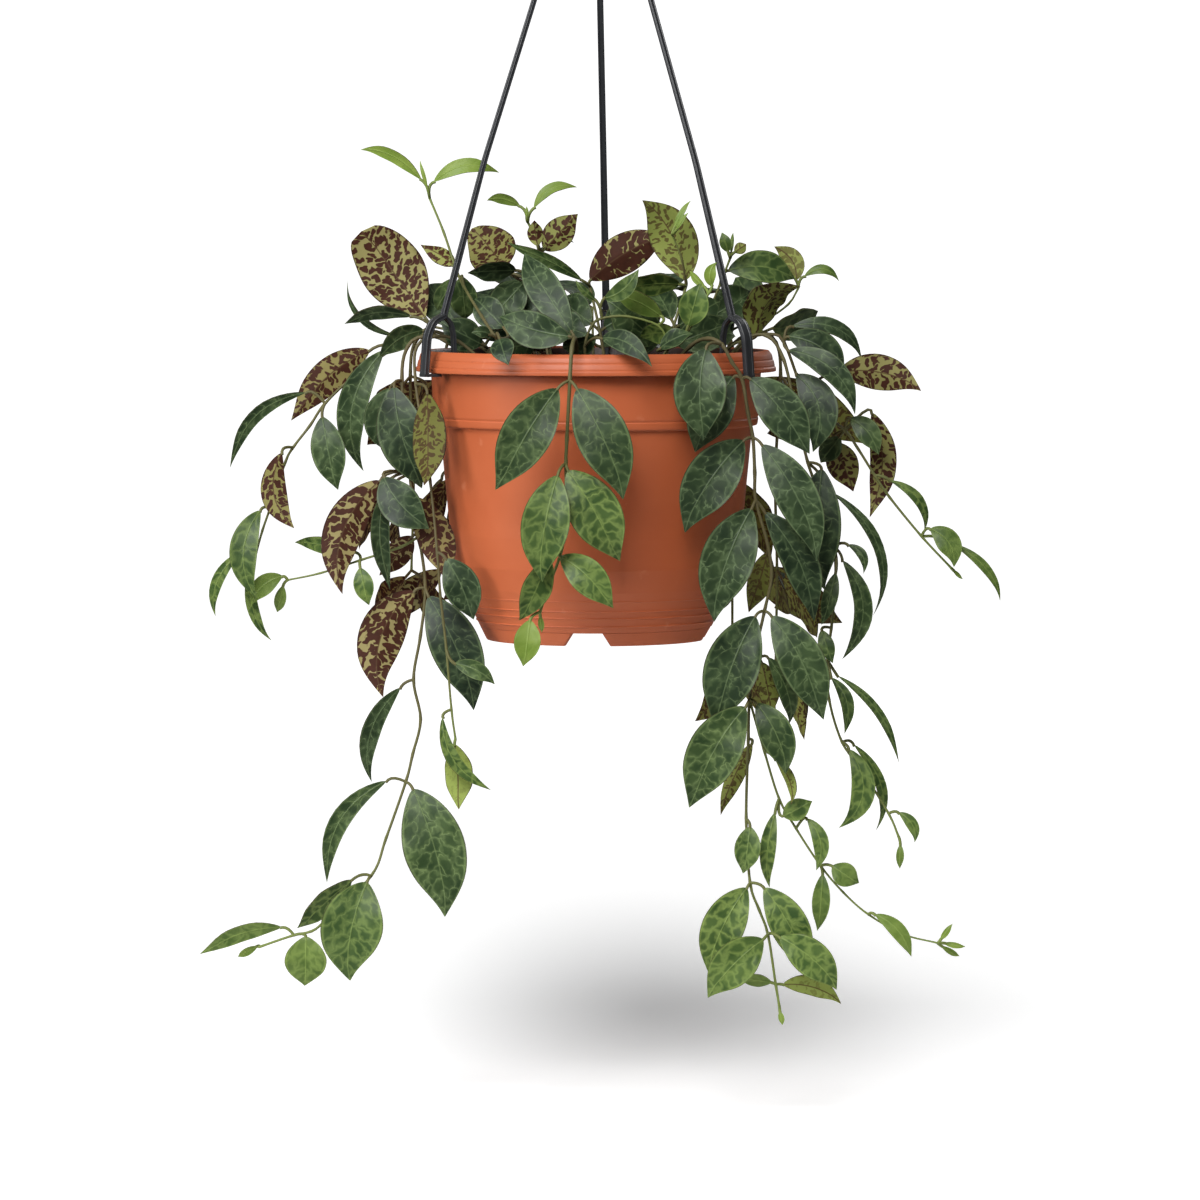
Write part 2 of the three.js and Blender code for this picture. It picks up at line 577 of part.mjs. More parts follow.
// Turns and leans a leaf until it clears the pot, the hanger, the other stems and their leaves
const CROSSING_COST = 1000;
const TOUCH_COST = 2;
const FREE_SHARE = 4;
function settleLeaf(leaf, others, own) {
  let best = null;
  for (const move of MOVES) {
    if (best && best.score <= move.effort) {
      break;
    }
    const tried = movedLeaf(leaf, move);
    let crossings = 0;
    let touches = 0;
    bladeSamples(tried).forEach((point, i) => {
      if (inPot(point) || others.holds(point)) {
        crossings += 1;
      } else if (i >= FREE_SHARE * (2 * SAMPLES_ACROSS + 1) && own.holds(point)) {
        touches += 1;
      }
    });
    const score = CROSSING_COST * crossings + TOUCH_COST * touches + move.effort;
    if (!best || score < best.score) {
      best = { leaf: tried, score, crossings };
    }
  }
  return best;
}

// A smooth route through hand-placed points, with steps no longer than the one given
function smoothRoute(points, longest) {
  const curve = new THREE.CatmullRomCurve3(points, false, 'catmullrom', 0.5);
  const spans = points.length - 1;
  const route = [points[0]];
  for (let i = 0; i < spans; i += 1) {
    const steps = Math.ceil(points[i].distanceTo(points[i + 1]) / longest);
    for (let k = 1; k <= steps; k += 1) {
      route.push(curve.getPoint((i + k / steps) / spans));
    }
  }
  return route;
}

// A closed skin through rings of as many points each, with a cap or a point at each end
function loft(rings, tip) {
  const sides = rings[0].length;
  const positions = rings.flat().flatMap((point) => [point.x, point.y, point.z]);
  const triangles = [];
  for (let j = 1; j < sides - 1; j += 1) {
    triangles.push(0, j + 1, j);
  }
  for (let i = 0; i < rings.length - 1; i += 1) {
    for (let j = 0; j < sides; j += 1) {
      const a = i * sides + j;
      const b = i * sides + (j + 1) % sides;
      triangles.push(...(j * 2 < sides ? [a, b, b + sides, a, b + sides, a + sides]
        : [a, b, a + sides, b, b + sides, a + sides]));
    }
  }
  const last = (rings.length - 1) * sides;
  if (tip) {
    positions.push(tip.x, tip.y, tip.z);
  }
  for (let j = 0; j < sides; j += 1) {
    if (tip) {
      triangles.push(last + j, last + (j + 1) % sides, last + sides);
    } else if (j > 0 && j < sides - 1) {
      triangles.push(last, last + j, last + j + 1);
    }
  }
  const geometry = new THREE.BufferGeometry();
  geometry.setAttribute('position', new THREE.BufferAttribute(new Float32Array(positions), 3));
  geometry.setIndex(triangles);
  return geometry;
}

// A closed geometry as a solid, with its faces turned outwards
function toSolid(geometry) {
  const bare = geometry.clone();
  bare.deleteAttribute('normal');
  bare.deleteAttribute('uv');
  const merged = mergeVertices(bare, MERGE_DISTANCE);
  const vertProperties = new Float32Array(merged.attributes.position.array);
  const triVerts = new Uint32Array(merged.index.array);
  const solid = new wasm.Manifold(new wasm.Mesh({ numProp: 3, vertProperties, triVerts }));
  if (solid.volume() > 0) {
    return solid;
  }
  triVerts.reverse();
  return new wasm.Manifold(new wasm.Mesh({ numProp: 3, vertProperties, triVerts }));
}

// A solid's geometry, with its shortest edges drawn together to a point
const SHORTEST_EDGE = 0.02;
function toGeometry(solid) {
  const { vertProperties, triVerts } = solid.getMesh();
  const vertex = (i) => new THREE.Vector3().fromArray(vertProperties, 3 * i);
  const merged = Array.from({ length: vertProperties.length / 3 }, (_, i) => i);
  const find = (i) => {
    let root = i;
    while (merged[root] !== root) {
      root = merged[root];
    }
    return root;
  };
  const faces = Array.from({ length: triVerts.length / 3 },
    (_, i) => [...triVerts.subarray(3 * i, 3 * i + 3)]);
  for (const face of faces) {
    face.forEach((start, k) => {
      const end = face[(k + 1) % 3];
      if (vertex(start).distanceTo(vertex(end)) < SHORTEST_EDGE) {
        merged[find(end)] = find(start);
      }
    });
  }
  const drawn = faces.map((face) => face.map(find)).filter((face) => new Set(face).size === 3);
  const counts = new Map();
  const nameOf = (face) => [...face].sort((a, b) => a - b).join(' ');
  for (const face of drawn) {
    counts.set(nameOf(face), (counts.get(nameOf(face)) || 0) + 1);
  }
  const kept = drawn.filter((face) => counts.get(nameOf(face)) === 1);
  const geometry = new THREE.BufferGeometry();
  const positions = kept.flat().flatMap((i) => vertex(i).toArray());
  geometry.setAttribute('position', new THREE.Float32BufferAttribute(positions, 3));
  const closed = mergeVertices(geometry, MERGE_DISTANCE);
  closed.computeVertexNormals();
  return closed;
}

// Joins solids into one body: a small sealed hollow is filled and a loose scrap dropped
function fuse(solids) {
  const whole = solids.reduce((joined, solid) => joined.add(solid)).simplify(FUSE_TOLERANCE);
  const bodies = whole.decompose().sort((a, b) => b.volume() - a.volume());
  return bodies[0];
}

// Where the rings of a blade stand along it
function stationsOf(leaf) {
  if (leaf.width < SMALL_BLADE) {
    return SMALL_STATIONS;
  }
  return leaf.kept && leaf.width >= BROAD_BLADE ? BROAD_STATIONS : BLADE_STATIONS;
}

// A blade with its petiole: rings of left edge, top of the rib, right edge and foot of the
// rib. A small blade and a hidden one have no top to the rib, and a small one fewer rings.
const PETIOLE_HALF = 0.85;
const PETIOLE_ROOT = 0.45;
const ROOT_OFFSET = 0.45;
function leafSolid(leaf) {
  const frame = bladeFrame(leaf);
  const start = bladePoint(leaf, frame, 0, 0);
  const petiole = leaf.base.clone().sub(leaf.node).normalize();
  const petioleSide = petiole.clone().cross(frame.up).normalize();
  const joint = petioleSide.clone().add(start.spread).normalize();
  const small = leaf.width < SMALL_BLADE;
  const ring = (centre, side, half, edge) => {
    const top = centre.clone().addScaledVector(frame.up, RIB_THICKNESS / 2);
    return [
      centre.clone().addScaledVector(side, -half).addScaledVector(frame.up, edge),
      ...(small || !leaf.kept ? [] : [top]),
      centre.clone().addScaledVector(side, half).addScaledVector(frame.up, edge),
      centre.clone().addScaledVector(frame.up, -RIB_THICKNESS / 2),
    ];
  };
  const rings = [
    ring(leaf.node.clone().addScaledVector(petiole, ROOT_OFFSET), petioleSide, PETIOLE_ROOT, 0),
    ring(leaf.base, joint, PETIOLE_HALF, 0),
  ];
  for (const along of stationsOf(leaf)) {
    const { point, spread, half } = bladePoint(leaf, frame, along, 0);
    rings.push(ring(point, spread, half, BLADE_FOLD * half));
  }
  const tip = bladePoint(leaf, frame, 1, 0).point;
  return toSolid(loft(rings, tip));
}

// A stem: a four-sided tube along its route, a little slimmer towards the tip
const STEM_TAPER = 0.35;
const STEM_OVERRUN = 1.5;
function stemSolid(stem) {
  const centres = smoothRoute(stem.route, STEM_STEP);
  const [almost, end] = centres.slice(-2);
  end.addScaledVector(end.clone().sub(almost).normalize(), STEM_OVERRUN);
  if (!stem.joins) {
    centres.unshift(centres[0].clone().add(new THREE.Vector3(0, 0, -ROOT_DEPTH)));
  }
  let normal = new THREE.Vector3(0.6, 0.8, 0);
  const rings = centres.map((centre, i) => {
    const before = centres[Math.max(i - 1, 0)];
    const after = centres[Math.min(i + 1, centres.length - 1)];
    const tangent = after.clone().sub(before).normalize();
    normal = normal.clone().addScaledVector(tangent, -normal.dot(tangent)).normalize();
    const second = tangent.clone().cross(normal);
    const radius = stem.thickness / 2 * (1 - STEM_TAPER * i / (centres.length - 1));
    return Array.from({ length: STEM_SIDES }, (_, j) => {
      const angle = 2 * Math.PI * j / STEM_SIDES;
      return centre.clone().addScaledVector(normal, radius * Math.cos(angle))
        .addScaledVector(second, radius * Math.sin(angle));
    });
  });
  return toSolid(loft(rings, null));
}

// A stem of the front tables, with its route and leaves in true coordinates
function seenStem({ name, joins, thickness, route, leaves }) {
  const places = route.map(([x, height, depth]) => seen(x, height, depth));
  return {
    name, joins, thickness, route: places,
    leaves: leaves.map(([at, baseX, baseZ, tipX, tipZ, width, ahead, lean, turn, bend, blunt]) => {
      const baseDepth = route[at][2] + ahead;
      return {
        node: places[at],
        base: seen(baseX, baseZ, baseDepth),
        tip: seen(tipX, tipZ, baseDepth + lean),
        width, turn, bend, blunt: blunt || 0, facing: FRONT, kept: true,
      };
    }),
  };
}

const UP = new THREE.Vector3(0, 0, 1);
const outwards = (angle) => new THREE.Vector3(Math.cos(degrees(angle)), Math.sin(degrees(angle)), 0);
const place = (outward, radius, height) => outward.clone().multiplyScalar(radius)
  .addScaledVector(UP, height);

// A leaf that grows from a node in a direction
const LEAF_RATIO = 0.48;
function grownLeaf(node, direction, petiole, length, facing, bend) {
  const base = node.clone().addScaledVector(direction, petiole);
  const tip = base.clone().addScaledVector(direction, length);
  const width = LEAF_RATIO * length;
  return { node, base, tip, width, turn: 0, bend, blunt: 0, facing, kept: false };
}

// A stem that leaves the soil, crosses the rim and hangs behind the pot, with pairs of leaves
const REAR_RIM = [[76, 5], [87, 8.5], [95.5, 3], [98, -14]];
const REAR_THICKNESS = 2;
const REAR_START = 14;
const REAR_RADIUS = 96;
const REAR_WANDER = 3;
const REAR_SWAY = 6;
const REAR_PETIOLE = 6;
const REAR_LEAF = 54;
const REAR_TAPER = 16;
const REAR_SHORTEST = 0.85;
const REAR_LENGTH_RANGE = 0.3;
const REAR_OUTWARD = 0.12;
const REAR_OUTWARD_RANGE = 0.2;
const WIDE_SPREAD = 46;
const NARROW_SPREAD = 24;
const SPREAD_RANGE = 16;
const REAR_BEND = 3;
function rearStem({ name, angle, root, hang, spacing }, draw) {
  const outward = outwards(angle);
  const side = UP.clone().cross(outward);
  const route = [place(outward, root, ROOT_HEIGHT)];
  for (const [radius, height] of REAR_RIM) {
    route.push(place(outward, radius, height));
  }
  const leaves = [];
  const pairs = Math.floor((hang - REAR_START) / spacing);
  for (let k = 0; k <= pairs; k += 1) {
    if (k > 0) {
      const sway = REAR_SWAY * (draw() - 0.5);
      const radius = REAR_RADIUS + REAR_WANDER * (draw() - 0.5);
      const node = place(outward, radius, -REAR_START - k * spacing);
      route.push(node.addScaledVector(side, sway));
    }
    const node = route[route.length - 1];
    const share = k / Math.max(pairs, 1);
    for (const hand of [-1, 1]) {
      const widest = k % 2 ? NARROW_SPREAD : WIDE_SPREAD;
      const spread = degrees(widest + SPREAD_RANGE * draw());
      const length = (REAR_LEAF - REAR_TAPER * share)
        * (REAR_SHORTEST + REAR_LENGTH_RANGE * draw());
      const direction = UP.clone().multiplyScalar(-Math.cos(spread));
      direction.addScaledVector(side, hand * Math.sin(spread));
      direction.addScaledVector(outward, REAR_OUTWARD + REAR_OUTWARD_RANGE * draw()).normalize();
      leaves.push(grownLeaf(node, direction, REAR_PETIOLE, length, outward, hand * REAR_BEND));
    }
  }
  return { name, thickness: REAR_THICKNESS, route, leaves };
}

// A short shoot in the back of the crown, with two pairs of leaves. A pair is the route point
// that it grows from, and how far its leaves point sideways and outwards.
const SHOOT_THICKNESS = 1.8;
const SHOOT_LEAF = 34;
const SHOOT_LEAF_RANGE = 14;
const SHOOT_PETIOLE = 4;
const SHOOT_BEND = 2;
const SHOOT_PAIRS = [[1, 0.8, 0.2], [2, 0.5, 0.8]];
const SHOOT_RISE = 0.1;
const SHOOT_RISE_RANGE = 0.25;
function rearShoot({ name, angle, root, lean, height }, draw) {
  const outward = outwards(angle);
  const side = UP.clone().cross(outward);
  const route = [0, 0.5, 1].map((share) => place(outward, root + lean * share,
    ROOT_HEIGHT + (height - ROOT_HEIGHT) * share));
  const leaves = [];
  for (const [at, sideways, forward] of SHOOT_PAIRS) {
    for (const hand of [-1, 1]) {
      const length = SHOOT_LEAF + SHOOT_LEAF_RANGE * draw();
      const direction = side.clone().multiplyScalar(hand * sideways);
      direction.addScaledVector(outward, forward);
      direction.addScaledVector(UP, SHOOT_RISE + SHOOT_RISE_RANGE * draw()).normalize();
      leaves.push(grownLeaf(route[at], direction, SHOOT_PETIOLE, length, UP, hand * SHOOT_BEND));
    }
  }
  return { name, thickness: SHOOT_THICKNESS, route, leaves };
}

// Points along the hanger's arms and clips, as far apart as the cells of the space
function hangerPoints() {
  const points = [];
  for (const turn of ARM_TURNS) {
    const outward = new THREE.Vector3(Math.sin(degrees(turn)), -Math.cos(degrees(turn)), 0);
    const across = UP.clone().cross(outward);
    const paths = [armPath(), outerLegPath(), innerLegPath()];
    for (const path of paths) {
      for (let i = 1; i < path.length; i += 1) {
        const [startRadius, startHeight] = path[i - 1];
        const [endRadius, endHeight] = path[i];
        const run = Math.hypot(endRadius - startRadius, endHeight - startHeight);
        const steps = Math.ceil(run / CELL);
        for (let k = 0; k <= steps; k += 1) {
          const radius = startRadius + (endRadius - startRadius) * k / steps;
          const height = startHeight + (endHeight - startHeight) * k / steps;
          for (const offset of [-ARM_WIDTH / 2, 0, ARM_WIDTH / 2]) {
            points.push(place(outward, radius, height).addScaledVector(across, offset));
          }
        }
      }
    }
  }
  return points;
}

// The hanger's side shapes, as [radius, height]: an arm, with its thickness and width at
// each point, the two legs of its clip, and the foot that reaches under the rim
function armPath() {
  return [[5, HUB_HEIGHT - 3, 1.9, 3.2], [33.9, 174.8, 1.9, 3.2], [61.9, 94.3, 2.1, 3.3],
    [CLIP_RADIUS, CLIP_TOP, 2.7, 3.8]];
}

function outerLegPath() {
  return [[CLIP_RADIUS, CLIP_TOP], [90.3, 15], [93.4, 8], [95, -RIM_DEPTH - GAP - FOOT_STRAP]];
}

function innerLegPath() {
  return [[CLIP_RADIUS, CLIP_TOP], [80.4, 14.2], [79, 8], [78.6, -9]];
}

function footPath() {
  const height = -RIM_DEPTH - GAP - FOOT_STRAP / 2;
  return [[96.2, height], [87, height]];
}

// A flat strap: the outline of a path of [radius, height] with a thickness, given a width
function strap(path, thickness, width) {
  const left = [];
  const right = [];
  path.forEach((point, i) => {
    const before = new THREE.Vector2(...path[Math.max(i - 1, 0)]);
    const after = new THREE.Vector2(...path[Math.min(i + 1, path.length - 1)]);
    const along = after.sub(before).normalize();
    const across = new THREE.Vector2(-along.y, along.x).multiplyScalar(thickness / 2);
    left.push(new THREE.Vector2(...point).add(across));
    right.unshift(new THREE.Vector2(...point).sub(across));
  });
  const shape = new THREE.Shape([...left, ...right]);
  const geometry = new THREE.ExtrudeGeometry(shape, { depth: width, bevelEnabled: false });
  geometry.translate(0, 0, -width / 2);
  geometry.rotateX(Math.PI / 2);
  return toSolid(geometry);
}

// A strap whose thickness and width change along its path
function taperedStrap(path) {
  const rings = path.map(([radius, height, thickness, width], i) => {
    const before = path[Math.max(i - 1, 0)];
    const after = path[Math.min(i + 1, path.length - 1)];
    const along = new THREE.Vector2(after[0] - before[0], after[1] - before[1]).normalize();
    const corner = (over, across) => new THREE.Vector3(
      radius - along.y * over * thickness / 2,
      across * width / 2,
      height + along.x * over * thickness / 2,
    );
    return [corner(1, -1), corner(1, 1), corner(-1, 1), corner(-1, -1)];
  });
  return toSolid(loft(rings, null));
}

// One arm with its clip, in the plane of +X, turned to its place
function armSolid(turn) {
  const parts = [
    taperedStrap(armPath()),
    strap(outerLegPath(), OUTER_LEG, OUTER_WIDTH),
    strap(innerLegPath(), INNER_LEG, INNER_WIDTH),
    strap(footPath(), FOOT_STRAP, OUTER_WIDTH),
  ];
  return fuse(parts).rotate([0, 0, turn - 90]);
}

// The hook: a round rod that rises from the hub and bends through three quarters of a circle
const HOOK_STEPS = 12;
const HOOK_SIDES = 6;
const HOOK_START = -90;
const HOOK_SWEEP = 285;
function hookSolid() {
  const radius = HOOK_INNER + HOOK_ROD / 2;
  const centre = HANG_HEIGHT - HOOK_INNER;
  const rings = [];
  const ring = (middle, inward) => Array.from({ length: HOOK_SIDES }, (_, j) => {
    const angle = 2 * Math.PI * j / HOOK_SIDES;
    return middle.clone().addScaledVector(inward, HOOK_ROD / 2 * Math.cos(angle))
      .addScaledVector(new THREE.Vector3(0, 1, 0), HOOK_ROD / 2 * Math.sin(angle));
  });
  rings.push(ring(new THREE.Vector3(0, 0, HUB_HEIGHT), new THREE.Vector3(-1, 0, 0)));
  rings.push(ring(new THREE.Vector3(0, 0, centre - radius - 5), new THREE.Vector3(-1, 0, 0)));
  for (let i = 1; i <= HOOK_STEPS; i += 1) {
    const angle = degrees(HOOK_START + HOOK_SWEEP * i / HOOK_STEPS);
    const inward = new THREE.Vector3(-Math.cos(angle), 0, -Math.sin(angle));
    const middle = inward.clone().multiplyScalar(-radius).add(new THREE.Vector3(0, 0, centre));
    rings.push(ring(middle, inward));
  }
  return toSolid(loft(rings, null));
}

function hubSolid() {
  const profile = [[0, HUB_HEIGHT - 10], [6, HUB_HEIGHT - 10], [HUB_RADIUS, HUB_HEIGHT - 6],
    [HUB_RADIUS, HUB_HEIGHT + 1], [4, HUB_HEIGHT + 5], [0, HUB_HEIGHT + 5]];
  return lathe(profile, 16);
}

// A solid of revolution from a profile of [radius, height], from the axis round to the axis
function lathe(profile, sides) {
  const points = profile.map(([radius, height]) => new THREE.Vector2(radius, height));
  const geometry = new THREE.LatheGeometry(points, sides);
  geometry.rotateX(Math.PI / 2);
  return toSolid(geometry);
}

function hangerSolid() {
  return fuse([...ARM_TURNS.map(armSolid), hubSolid(), hookSolid()]);
}

// A square block that cuts a hole, from its size and middle
function cutter(size, turn, radius, middle) {
  const geometry = new THREE.BoxGeometry(size, size, size);
  geometry.translate(0, -radius, middle);
  geometry.rotateZ(degrees(turn));
  return toSolid(geometry);
}

// A notch of the foot ring: it narrows towards its top
const NOTCH_TURN = -4.5;
const NOTCH_WIDTH = 15;
const NOTCH_MOUTH = 23.5;
const NOTCH_REACH = 8;
const NOTCH_HEIGHT = 6.5;
function notchCutter(turn) {
  const flare = (NOTCH_MOUTH - NOTCH_WIDTH) / 2;
  const ring = (radius) => [
    new THREE.Vector3(-NOTCH_MOUTH / 2 - flare, -radius, -POT_HEIGHT - NOTCH_HEIGHT),
    new THREE.Vector3(NOTCH_MOUTH / 2 + flare, -radius, -POT_HEIGHT - NOTCH_HEIGHT),
    new THREE.Vector3(NOTCH_WIDTH / 2, -radius, -POT_HEIGHT + NOTCH_HEIGHT),
    new THREE.Vector3(-NOTCH_WIDTH / 2, -radius, -POT_HEIGHT + NOTCH_HEIGHT),
  ];
  const rings = [ring(FOOT_RADIUS - NOTCH_REACH), ring(FOOT_RADIUS + NOTCH_REACH)];
  return toSolid(loft(rings, null)).rotate([0, 0, turn]);
}

// The pot: a wall with a stepped collar, a rim with a hollow underside, a notched foot ring
const FLOOR = -POT_HEIGHT + FOOT_HEIGHT;
const DRAIN_HOLES = 6;
const DRAIN_SIZE = 8;
const DRAIN_RADIUS = 30;
function potSolid() {
  const outer = POT_WALL.slice(1);
  const inner = [[RIM_INNER, -RIM_DEPTH], [76.2, -37.6], [71, -91], [68.6, -106],
    [65.2, -116.8], [58.9, -131.3], [56.4, FLOOR + WALL]];
  const profile = [[0, FLOOR], [FOOT_RADIUS - 4, FLOOR], [FOOT_RADIUS - 4, -POT_HEIGHT],
    [FOOT_RADIUS, -POT_HEIGHT], ...outer, [84.5, -2.6], [87.2, -2.6], [88, -RIM_DEPTH],
    [RIM_RADIUS, -RIM_DEPTH], [RIM_RADIUS, -8.2], [88.5, -3], [86.4, 0], [84, 0],
    ...inner, [0, FLOOR + WALL]];
  let pot = lathe(profile, POT_SIDES);
  for (let i = 0; i < FOOT_NOTCHES; i += 1) {
    const turn = NOTCH_TURN + 360 * i / FOOT_NOTCHES;
    pot = pot.subtract(notchCutter(turn));
  }
  for (let i = 0; i < DRAIN_HOLES; i += 1) {
    const turn = NOTCH_TURN + 30 + 360 * i / DRAIN_HOLES;
    const hole = cutter(DRAIN_SIZE, turn, DRAIN_RADIUS, FLOOR + WALL / 2);
    pot = pot.subtract(hole);
  }
  return pot;
}

// The soil fills the pot, with a plain hole for each stem
const SOIL_SIDES = 24;
const HOLE_SIDES = 4;
const HOLE_CLEARANCE = 0.9;
function soilSolid(stems) {
  const top = [[0, SOIL_TOP + 1.5], [79, SOIL_TOP]];
  const side = [[75.5, -38], [70.3, -91], [67.9, -106], [64.5, -116.8], [58.2, -131.3],
    [56.8, SOIL_BOTTOM], [0, SOIL_BOTTOM]];
  let soil = lathe([...side.reverse(), ...top.reverse()], SOIL_SIDES);
  for (const stem of stems) {
    const root = stem.route[0];
    const hole = new THREE.CylinderGeometry(1, 1, 2 * ROOT_DEPTH + 6, HOLE_SIDES);
    const radius = stem.thickness / 2 + HOLE_CLEARANCE;
    hole.scale(radius, 1, radius).rotateX(Math.PI / 2).translate(root.x, root.y, root.z);
    soil = soil.subtract(toSolid(hole));
  }
  return soil;
}

// Settles the leaves of every stem, one plant node after the other
function growPlant() {
  const draw = drawer(LEAF_SEED);
  const stems = [
    ...STEMS.map(seenStem),
    ...REAR_STEMS.map((stem) => rearStem(stem, draw)),
    ...REAR_SHOOTS.map((shoot) => rearShoot(shoot, draw)),
  ];
  const others = new Space();
  others.add(hangerPoints(), 1);
  const routes = new Map(stems.map((stem) => [stem.name, routeSamples(stem.route)]));
  for (const samples of routes.values()) {
    others.add(samples, 1);
  }
  for (const first of stems.filter((stem) => !stem.joins)) {
    const group = [first, ...stems.filter((stem) => stem.joins === first.name)];
    const own = new Space();
    for (const stem of group) {
      others.add(routes.get(stem.name), -1);
      own.add(routes.get(stem.name), 1);
    }
    const claimed = group.flatMap((stem) => routes.get(stem.name));
    for (const stem of group) {
      stem.leaves = stem.leaves.map((leaf) => {
        const best = settleLeaf(leaf, others, own);
        if (best.crossings > 0 && !leaf.kept) {
          return null;
        }
        const samples = bladeSamples(best.leaf);
        own.add(samples, 1);
        claimed.push(...samples);
        return best.leaf;
      }).filter((leaf) => leaf);
    }
    others.add(claimed, 1);
  }
  return stems;
}

// Points along a stem, no further apart than a cell of the space
function routeSamples(route) {
  return smoothRoute(route, CELL);
}

function addMesh(group, name, solid, finish) {
  const mesh = new THREE.Mesh(toGeometry(solid), new THREE.MeshStandardMaterial(finish));
  mesh.name = name;
  group.add(mesh);
}

const plant = new THREE.Group();
plant.position.z = -HANG_HEIGHT;
const stems = growPlant();
addMesh(plant, 'pot', potSolid(), FINISH.terracotta);
addMesh(plant, 'hanger', hangerSolid(), FINISH.black);
addMesh(plant, 'soil', soilSolid(stems.filter((stem) => !stem.joins)), FINISH.soil);
for (const stem of stems.filter((each) => !each.joins)) {
  const group = [stem, ...stems.filter((other) => other.joins === stem.name)];
  const solids = group.flatMap((part) => [stemSolid(part), ...part.leaves.map(leafSolid)]);
  addMesh(plant, stem.name, fuse(solids), FINISH.leaf);
}

const object = new THREE.Group();
object.add(plant);
export default object;
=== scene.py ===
"""The looks of a potted zebra basket vine in a hanging pot, with its camera, floor and light.

The plant is grown by the same rules as the CAD model, in millimetres from the top of the
pot's rim, and is set down in the row frame, in metres from the bearing point of the hook.
"""
import sys

import itertools
import logging
import math
from dataclasses import dataclass, field, replace
from enum import Enum
from typing import Iterable, Sequence

import bpy
import numpy as np
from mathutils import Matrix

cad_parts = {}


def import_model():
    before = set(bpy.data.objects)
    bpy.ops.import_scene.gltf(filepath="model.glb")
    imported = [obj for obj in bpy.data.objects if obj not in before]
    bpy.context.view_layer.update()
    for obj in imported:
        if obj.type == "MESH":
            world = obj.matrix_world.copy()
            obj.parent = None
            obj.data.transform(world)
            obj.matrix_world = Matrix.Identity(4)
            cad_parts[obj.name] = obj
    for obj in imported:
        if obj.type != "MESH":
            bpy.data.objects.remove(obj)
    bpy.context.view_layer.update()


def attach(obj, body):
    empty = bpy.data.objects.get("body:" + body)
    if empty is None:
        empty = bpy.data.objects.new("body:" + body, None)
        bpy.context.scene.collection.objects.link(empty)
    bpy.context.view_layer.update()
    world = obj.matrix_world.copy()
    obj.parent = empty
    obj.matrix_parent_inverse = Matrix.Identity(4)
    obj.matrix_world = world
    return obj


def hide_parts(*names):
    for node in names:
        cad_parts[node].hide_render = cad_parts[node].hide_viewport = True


LOG = logging.getLogger("scene")
BLACK = (0.0, 0.0, 0.0, 1.0)
WHITE = (1.0, 1.0, 1.0, 1.0)

Array = np.ndarray
Pair = tuple[float, float]
Triple = tuple[float, float, float]

# A millimetre in metres, a centimetre in millimetres, and a hole too small to see
MILLIMETRE = 0.001
CENTIMETRE = 10.0
NEAR_AXIS = 0.01

# Driving sizes in millimetres, the same as the CAD model's
HANG_HEIGHT = 308.0
RIM_RADIUS = 90.0
RIM_DEPTH = 10.4
POT_HEIGHT = 144.4
FOOT_RADIUS = 55.2
FOOT_INNER = 51.2
FLOOR_TOP = -135.5
FLOOR_UNDER = -137.5
NOTCH_TOP = -137.9
NOTCH_TURN = -4.5
SOIL_TOP = -16.0
SOIL_BOTTOM = -133.5
ROOT_HEIGHT = -14.0
ROOT_DEPTH = 11.0
ARM_TURNS = (-62.9, 52.3, 176.5)
ARM_WIDTH = 4.0
CLIP_TOP = 17.8
CLIP_RADIUS = 84.4
HUB_HEIGHT = 268.0
HUB_RADIUS = 8.0
HOOK_INNER = 12.0
HOOK_ROD = 4.0
FOOT_STRAP = 1.4
CLIP_FOOT = -12.1
UP = np.array([0.0, 0.0, 1.0])
FRONT = np.array([0.0, -1.0, 0.0])

# A box of half sizes 1, for the crumbs
BOX_CORNERS = np.array([[-1.0, -1.0, -1.0], [1.0, -1.0, -1.0], [1.0, 1.0, -1.0],
                        [-1.0, 1.0, -1.0], [-1.0, -1.0, 1.0], [1.0, -1.0, 1.0],
                        [1.0, 1.0, 1.0], [-1.0, 1.0, 1.0]])
BOX_FACES = np.array([[0, 3, 2, 1], [4, 5, 6, 7], [0, 1, 5, 4], [1, 2, 6, 5], [2, 3, 7, 6],
                      [3, 0, 4, 7]])

# The shape of the leaves and stems
OUTLINE_SKEW = 0.9
OUTLINE_POWER = 0.8
BLUNT_SKEW = 0.9
BLUNT_POWER = 1.4
BLADE_FOLD = 0.16
BLADE_ARCH = 0.09
DRAWN_START = 0.65
DRAWN_RUN = 0.35
DRAWN_SHARE = 0.5
DRAWN_BLUNT = 3.0
STEM_TAPER = 0.35
STEM_FULLNESS = 0.96
LEAF_RATIO = 0.48

# The view that the tables were read from
VIEW_DISTANCE = 3000.0
VIEW_HEIGHT = 80.0
VIEW_ZERO = 1.2


@dataclass(frozen=True)
class StemRow:
    """A stem as it is seen from the front, in millimetres.

    Args:
        name: The CAD node, or the branch's own name.
        thickness: The stem's thickness at its root.
        route: Points of [x, height, depth], from the soil to the tip.
        leaves: Rows of route point, base x and height, tip x and height, width, base depth
            less the stem's, tip depth less the base's, turn, bend and bluntness.
        joins: The stem that this one branches from.
    """

    name: str
    thickness: float
    route: tuple[Triple, ...]
    leaves: tuple[tuple[float, ...], ...]
    joins: str = ""


@dataclass(frozen=True)
class RearRow:
    """A trailing stem behind the pot.

    Args:
        name: The CAD node.
        angle: Where it crosses the rim, in degrees from +X towards the back.
        root: How far from the pot's axis it roots.
        hang: How far below the rim it hangs.
        spacing: How far apart its pairs of leaves stand.
    """

    name: str
    angle: float
    root: float
    hang: float
    spacing: float


